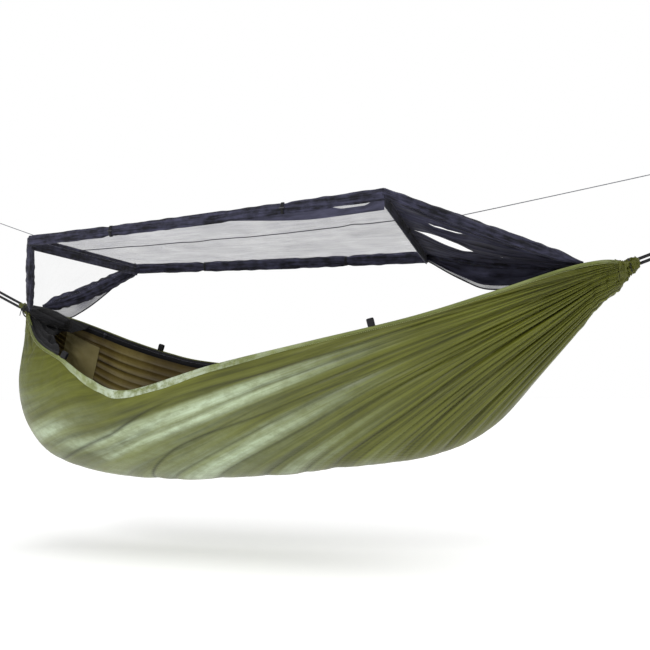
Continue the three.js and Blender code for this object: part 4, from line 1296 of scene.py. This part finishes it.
add_roof()
for face_name, face_side in FACES.items():
    add_door_roll(face_name, face_side)
for seam_name in SEAMS:
    add_seam(seam_name)
add_left_panel()
add_right_ribbons()
for flap_name in FLAP_LOOKS:
    add_flap(flap_name)


# ---- Rod sleeves, tabs and ties ----


def add_sleeve(end):
    """The sleeve of doubled net that holds a rod, puckered where it is sewn."""
    steps = 160
    path = straight(*(rod_point(end, side, ROOF_HALF_WIDTH - 0.007) for side in FACES.values()), steps)
    share = np.linspace(0, 1, steps)
    half, drop = SLEEVE_THICKNESS / 2, 1.3 * SLEEVE_HEIGHT - SLEEVE_THICKNESS / 2
    # round the rod, down one side to the sewn edge, and up the other
    over = [(half * math.cos(angle), half * math.sin(angle)) for angle in np.linspace(np.pi, 0, 15)]
    side = [(half - (half - 0.002) * min(1, down * 1.6), -drop * down) for down in np.linspace(0.1, 1, 12)]
    outline = np.array(over + side + [(-x, z) for x, z in reversed(side)])
    pucker = 0.0016 * creases(share[:, None] * 26, outline[None, :, 1] * 40, 241)
    out = outline[None, :, :] * np.ones((steps, 1, 1))
    out[..., 0] += np.sign(out[..., 0]) * pucker * (out[..., 1] < 0)
    rings = path[:, None, :] + out[..., :1] * np.array([1, 0, 0]) + out[..., 1:] * np.array([0, 0, 1])
    dress(loft_object(f"sleeve_{end}", rings), BUNCHED, [f"rod_sleeve_{end}"])
    count = 70
    along = path[[int((i + 0.5) / count * steps) for i in range(count)]]
    centres = np.vstack([along + [face * (half + 0.0004), 0, -half - 0.004] for face in (-1, 1)])
    corners = centres[:, None, :] + BOX_CORNERS * np.array((0.0010, 0.0052, 0.0012)) / 2
    faces = repeat_faces(BOX_FACES, 2 * count)
    dress(mesh_object(f"sleeve_stitches_{end}", corners.reshape(-1, 3), faces), DARK_THREAD)


def add_tab(end):
    """The folded tape tab at the middle of a rod, and the knot of the elastic cord on it."""
    side, steps = SIDES[end], 40
    centre, size = node_box(f"cord_tab_{end}")
    share = np.linspace(0, 1, steps)
    bend = 0.0015 * np.sin(np.pi * share)
    faces = []
    for offset in (-0.0009, 0.0009):
        drop = centre[2] + size[2] / 2 - share * size[2]
        line = np.stack([centre[0] + offset + bend * side, np.full(steps, centre[1]), drop], axis=1)
        rings = sweep_rings(line, np.ones((steps, 20)), up=(1, 0, 0), wide=size[1] / 2, tall=0.0007)
        faces.append(loft_object("face", rings))
    dress(join(f"tape_tab_{end}", faces), TAPE, [f"cord_tab_{end}"])
    knot_at = elastic_line(end)[0] + [side * 0.004, 0, 0]
    loops = []
    for k in range(2):
        t = np.linspace(0, 2 * np.pi, 36, endpoint=False)
        ring = np.stack([0.0022 * np.cos(t), 0.0034 * np.sin(t), 0.0030 * np.sin(t + k)], axis=1) + knot_at
        loops.append(round_object("loop", ring, 0.0022, 8, up=(0.3, 1, 0.2)))
    dress(join(f"elastic_knot_{end}", loops), ELASTIC)


def add_tie_out_loops():
    """Folded loops of flat webbing that stand on the rims, their faces looking out sideways."""
    for name in CORNERS:
        node = f"tie_out_loop_{name}"
        places = node_points(node)
        centre = places.mean(0)
        is_left = places[:, 0] < centre[0]
        low_end, high_end = places[is_left].mean(0), places[places[:, 0] > centre[0]].mean(0)
        along = unit((high_end - low_end) * np.array([1, 0, 1]))
        up = np.array([-along[2], 0, along[0]])
        outline = [(-0.0045, -0.015), (-0.0058, -0.005), (-0.0060, 0.004), (-0.0032, 0.0098)]
        outline += [(-y, z) for y, z in reversed(outline)]
        path = curve_through([centre + np.array([0, y, 0]) + up * z for y, z in outline], 70)
        rings = sweep_rings(path, np.ones((len(path), 24)), up=tuple(along), wide=0.0011, tall=0.0108)
        loop = loft_object(f"webbing_loop_{name}", rings)
        dress(loop, TAPE, [node])


def add_door_ties():
    """A strap round each rolled door at two places, with a toggle on its outer side."""
    for name in CORNERS:
        centre, size = node_box(f"door_tie_{name}")
        t = np.linspace(0, 2 * np.pi, 61)[:-1]
        half_y, half_z = size[1] / 2 - 0.0012, size[2] / 2 - 0.0025
        ring = np.stack([np.zeros(60), 0.9 * half_y * np.cos(t), 0.88 * half_z * np.sin(t)], axis=1) + centre
        strap = closed_strap(f"roll_tie_{name}", ring, width=0.009, thickness=0.0016)
        dress(strap, TAPE, [f"door_tie_{name}"])
        bar = [centre + [x, 0, 0] for x in (-0.009, 0, 0.009)]
        toggle = tube_object(f"roll_toggle_{name}", bar, 0.005, 20, 14)
        toggle.location = (0, FACES[name.split("_")[0]] * (size[1] / 2 - 0.0015), 0)
        dress(toggle, HOOK_PLASTIC)


def closed_strap(name, ring, width, thickness):
    """A flat strap along a closed ring that lies in a plane across X."""
    outward = unit(ring - ring.mean(0))
    edges = ((-1, 0), (-1, 1), (1, 1), (1, 0))
    rows = np.stack([ring + outward * out * thickness + [x * width / 2, 0, 0] for x, out in edges])
    count = len(ring)
    faces = []
    for i in range(4):
        this, after = i * count, (i + 1) % 4 * count
        for j in range(count):
            k = (j + 1) % count
            faces.append([this + j, this + k, after + k, after + j])
    uvs = np.repeat(np.arange(4 * count)[:, None] * 0.001, 2, axis=1)
    return mesh_object(name, rows.reshape(-1, 3), faces, uvs)


for end_name in SIDES:
    add_sleeve(end_name)
    add_tab(end_name)
add_tie_out_loops()
add_door_ties()


# ---- Metalwork, zips and hooks ----

CARABINER = {"length": 0.078, "width": 0.040, "wire": 0.008, "land": 0.014}
GATE = {"hinge": 0.019, "nose": 0.055, "wire": 0.005, "pin": 0.0026}


def repaint(node, look):
    """A CAD node whose shape is right keeps it, and gets a better material."""
    data = NODES[node].data
    data.materials.clear()
    data.materials.append(look)


def carabiner_frame(end):
    """The ring's own axes: its length along the cord, its width along Y."""
    direction = suspension_direction(end)
    set_back = (SUSPENSION_CORD + CARABINER["wire"]) / 2 + 0.0012
    reach = SUSPENSION_RUNS[end] / math.cos(suspension_angle(end)) - set_back
    return gather_point(end) + direction * reach, direction


def arc(middle, radius, first, last, count):
    """Points of a circle in the plane, between two angles given in quarter turns."""
    angles = np.linspace(first * math.pi / 2, last * math.pi / 2, count)
    return [(middle[0] + radius * math.cos(angle), middle[1] + radius * math.sin(angle)) for angle in angles]


HALF_RING = (CARABINER["width"] - CARABINER["wire"]) / 2  # from the ring's own middle line to the gate's
GATE_PROFILE = [
    (0.0, 0.7), (0.03, 0.95), (0.08, 1.0), (0.80, 1.0), (0.84, 0.86), (0.88, 1.0), (0.97, 0.95), (1.0, 0.7),
]  # the gate's thickness along its length, both as shares


def carabiner_outline():
    """From the gate's hinge round the cord's bow, along the spine and round the far bow to the nose."""
    land = CARABINER["land"] / 2
    corner = HALF_RING - land
    far = CARABINER["length"] - CARABINER["wire"] - corner
    line = [(GATE["hinge"], HALF_RING)] + arc((HALF_RING, 0), HALF_RING, 1, 3, 13)
    line += arc((far, -land), corner, -1, 0, 7) + arc((far, land), corner, 0, 1, 7)
    return line + [(GATE["nose"], HALF_RING)]


def add_carabiner(end):
    """The ring, its gate and the pin that the gate turns on."""
    origin, direction = carabiner_frame(end)
    normal = np.array([-direction[2], 0, direction[0]])
    up = tuple(normal)

    def place(x, y, z=0.0):
        return origin + direction * x + np.array([0, y, 0]) + normal * z

    path = curve_through([place(x, y) for x, y in carabiner_outline()], 150)
    share = np.linspace(0, 1, len(path))
    # rounded ends at the hinge and the nose
    swell = np.minimum(1, 0.75 + 0.25 * np.minimum(share, 1 - share) * 60)
    ring = bar_object(f"snap_ring_{end}", path, CARABINER["wire"] * swell, 24, up)
    dress(ring, ALLOY, [f"carabiner_{end}"], ANCHORS)
    start, finish = GATE["hinge"] + GATE["pin"] + 0.0004, GATE["nose"] - 0.0006
    shares = np.linspace(0, 1, 90)
    sizes = np.interp(shares, *zip(*GATE_PROFILE)) * GATE["wire"]
    line = np.array([place(start + (finish - start) * share, HALF_RING) for share in shares])
    gate = bar_object(f"snap_gate_{end}", line, sizes, 20, up)
    dress(gate, ALLOY, [f"carabiner_gate_{end}"], f"gate_{end}")
    reach = CARABINER["wire"] / 2 + 0.0004
    ends = [place(GATE["hinge"] + GATE["pin"] / 2 + 0.0002, HALF_RING, z) for z in (-reach, 0, reach)]
    pin = tube_object(f"snap_pin_{end}", ends, GATE["pin"], 20, 18)
    dress(pin, DARK_METAL, [f"gate_pin_{end}"], ANCHORS)


def add_elastic_hook(end):
    """A moulded hook with a flared collar where the elastic cord goes into it."""
    side = SIDES[end]
    line = elastic_line(end)
    direction = unit(line[-1] - line[0])
    normal = np.array([-direction[2] * side, 0, direction[0] * side])
    outline = [(0.0, 0.0), (0.010, 0.0), (0.020, 0.0)] + arc((0.024, -0.009), 0.009, 1, -1.24, 7)[1:]
    path = curve_through([direction * x + normal * z for x, z in outline], 90)
    path = path + node_box(f"elastic_hook_{end}")[0] - (path.min(0) + path.max(0)) / 2
    share = np.linspace(0, 1, len(path))
    collar = 1 + 0.10 * np.exp(-((share / 0.08) ** 2))
    size = 0.0039 * collar * np.minimum(1, 0.6 + (1 - share) * 12)
    hook = bar_object(f"moulded_hook_{end}", path, size, 18, up=(0, 1, 0))
    dress(hook, HOOK_PLASTIC, [f"elastic_hook_{end}"], ANCHORS)


def node_axes(node):
    """A boxy CAD node's middle, its three axes and its size along each, from its own corners."""
    places = node_points(node)
    middle = (places.min(0) + places.max(0)) / 2
    corners = np.unique(np.round(places, 6), axis=0)
    edges = []
    # the shortest lines from one corner to others that are square to each other
    for edge in sorted(corners[1:] - corners[0], key=np.linalg.norm):
        square = all(abs(np.dot(unit(edge), unit(known))) < 0.02 for known in edges)
        if square and len(edges) < 3:
            edges.append(edge)
    return middle, [unit(edge) for edge in edges], [float(np.linalg.norm(edge)) for edge in edges]


def add_slider(name):
    """A zip slider: a rounded body with a raised bridge."""
    middle, axes, sizes = node_axes(f"zip_slider_{name}")
    turn = Matrix(axes).transposed().to_4x4()
    if turn.determinant() < 0:
        turn = Matrix([axes[0], axes[1], -axes[2]]).transposed().to_4x4()
    body = box_object("body", sizes, 0.0012)
    bridge = box_object("bridge", [sizes[0] * 0.9, sizes[1] * 0.3, sizes[2] * 0.55], 0.0006)
    for part in (body, bridge):
        part.matrix_world = Matrix.Translation(middle) @ turn
    slider = join(f"slider_body_{name}", [body, bridge])
    dress(slider, DARK_METAL, [f"zip_slider_{name}"], f"slider_{name}")


def add_pull(name):
    """A zip pull: a slotted plate made of two rails and three bars."""
    middle, (thin, wide, long_axis), (thick, width, length) = node_axes(f"zip_pull_{name}")
    places = (-0.46, 0.0, 0.46)
    plate = []
    for across in (-0.36, 0.36):
        rail = [middle + wide * across * width + long_axis * length * along for along in places]
        plate.append(tube_object("rail", rail, thick * 0.92, 20, 12, up=tuple(thin)))
    for along in (-0.46, 0.10, 0.46):
        bar = [middle + long_axis * length * along + wide * width * across for across in (-0.40, 0.0, 0.40)]
        plate.append(tube_object("bar", bar, thick * 0.9, 12, 12, up=tuple(thin)))
    pull = join(f"pull_plate_{name}", plate)
    dress(pull, DARK_METAL, [f"zip_pull_{name}"], f"pull_{name}")


for end_name in SIDES:
    add_carabiner(end_name)
    add_elastic_hook(end_name)
    repaint(f"spreader_rod_{end_name}", ROD_PLASTIC)
for corner_name in CORNERS:
    add_slider(corner_name)
    add_pull(corner_name)


# ---- Sheets, floor and light ----


FLOOR_Z = -1.05


def add_floor():
    """A wide white floor, lit from below as well, as in a studio."""
    size = 30
    corners = [(x * size, y * size, FLOOR_Z) for x, y in ((-1, -1), (1, -1), (1, 1), (-1, 1))]
    floor = mesh_object("floor", np.array(corners, float), [[0, 1, 2, 3]])
    look = Look(
        "pale floor", 0.9, Specular_IOR_Level=0.1, Base_Color=(0.93, 0.93, 0.93, 1),
        Emission_Color=(1, 1, 1, 1), Emission_Strength=0.34,
    )
    floor.data.materials.append(look.material)


def add_lamp(name, kind, power, towards, at=(0, 0, 0), **settings):
    """A lamp that shines in a direction."""
    data = bpy.data.lights.new(name, kind)
    data.energy = power
    for key, value in settings.items():
        setattr(data, key, value)
    lamp = bpy.data.objects.new(name, data)
    lamp.location = at
    lamp.rotation_euler = Vector(towards).to_track_quat("-Z", "Y").to_euler()
    bpy.context.scene.collection.objects.link(lamp)


ROOM_LIGHT = (0.1, 0.5)  # from the dark side of the room to the bright side
BRIGHT_SIDE = (-0.3, -0.9, 0.3)


def add_world():
    """A room that is brighter towards its left and front, behind a backdrop that is lit to white."""
    world = bpy.data.worlds.new("studio")
    world.use_nodes = True
    background = world.node_tree.nodes["Background"]
    background.inputs["Color"].default_value = (1, 1, 1, 1)
    studio = Nodes(world.node_tree)
    towards = studio.node("ShaderNodeTexCoord").outputs["Generated"]
    bright_side = Vector(BRIGHT_SIDE).normalized()
    side = studio.node("ShaderNodeVectorMath", {"operation": "DOT_PRODUCT"}, i0=towards, i1=bright_side)
    room = studio.between(side.outputs["Value"], -1.0, 1.0, *ROOM_LIGHT)
    backdrop = studio.node("ShaderNodeLightPath").outputs["Is Camera Ray"]
    level = studio.between(backdrop, 0.0, 1.0, room, 1.0)
    world.node_tree.links.new(level, background.inputs["Strength"])
    bpy.context.scene.world = world
    bpy.context.scene.view_settings.view_transform = "Standard"


add_floor()
add_world()
# a broad overhead light, as even over the floor as a large ceiling panel, and a smaller one at the front
add_lamp("ceiling", "SUN", 1.7, (-0.42, 0.12, -1.0), angle=math.radians(60))
add_lamp("front_left", "AREA", 45, (0.5, 3.0, -1.7), at=(-0.7, -3.0, 1.3), shape="SQUARE", size=0.8)

bpy.context.view_layer.update()
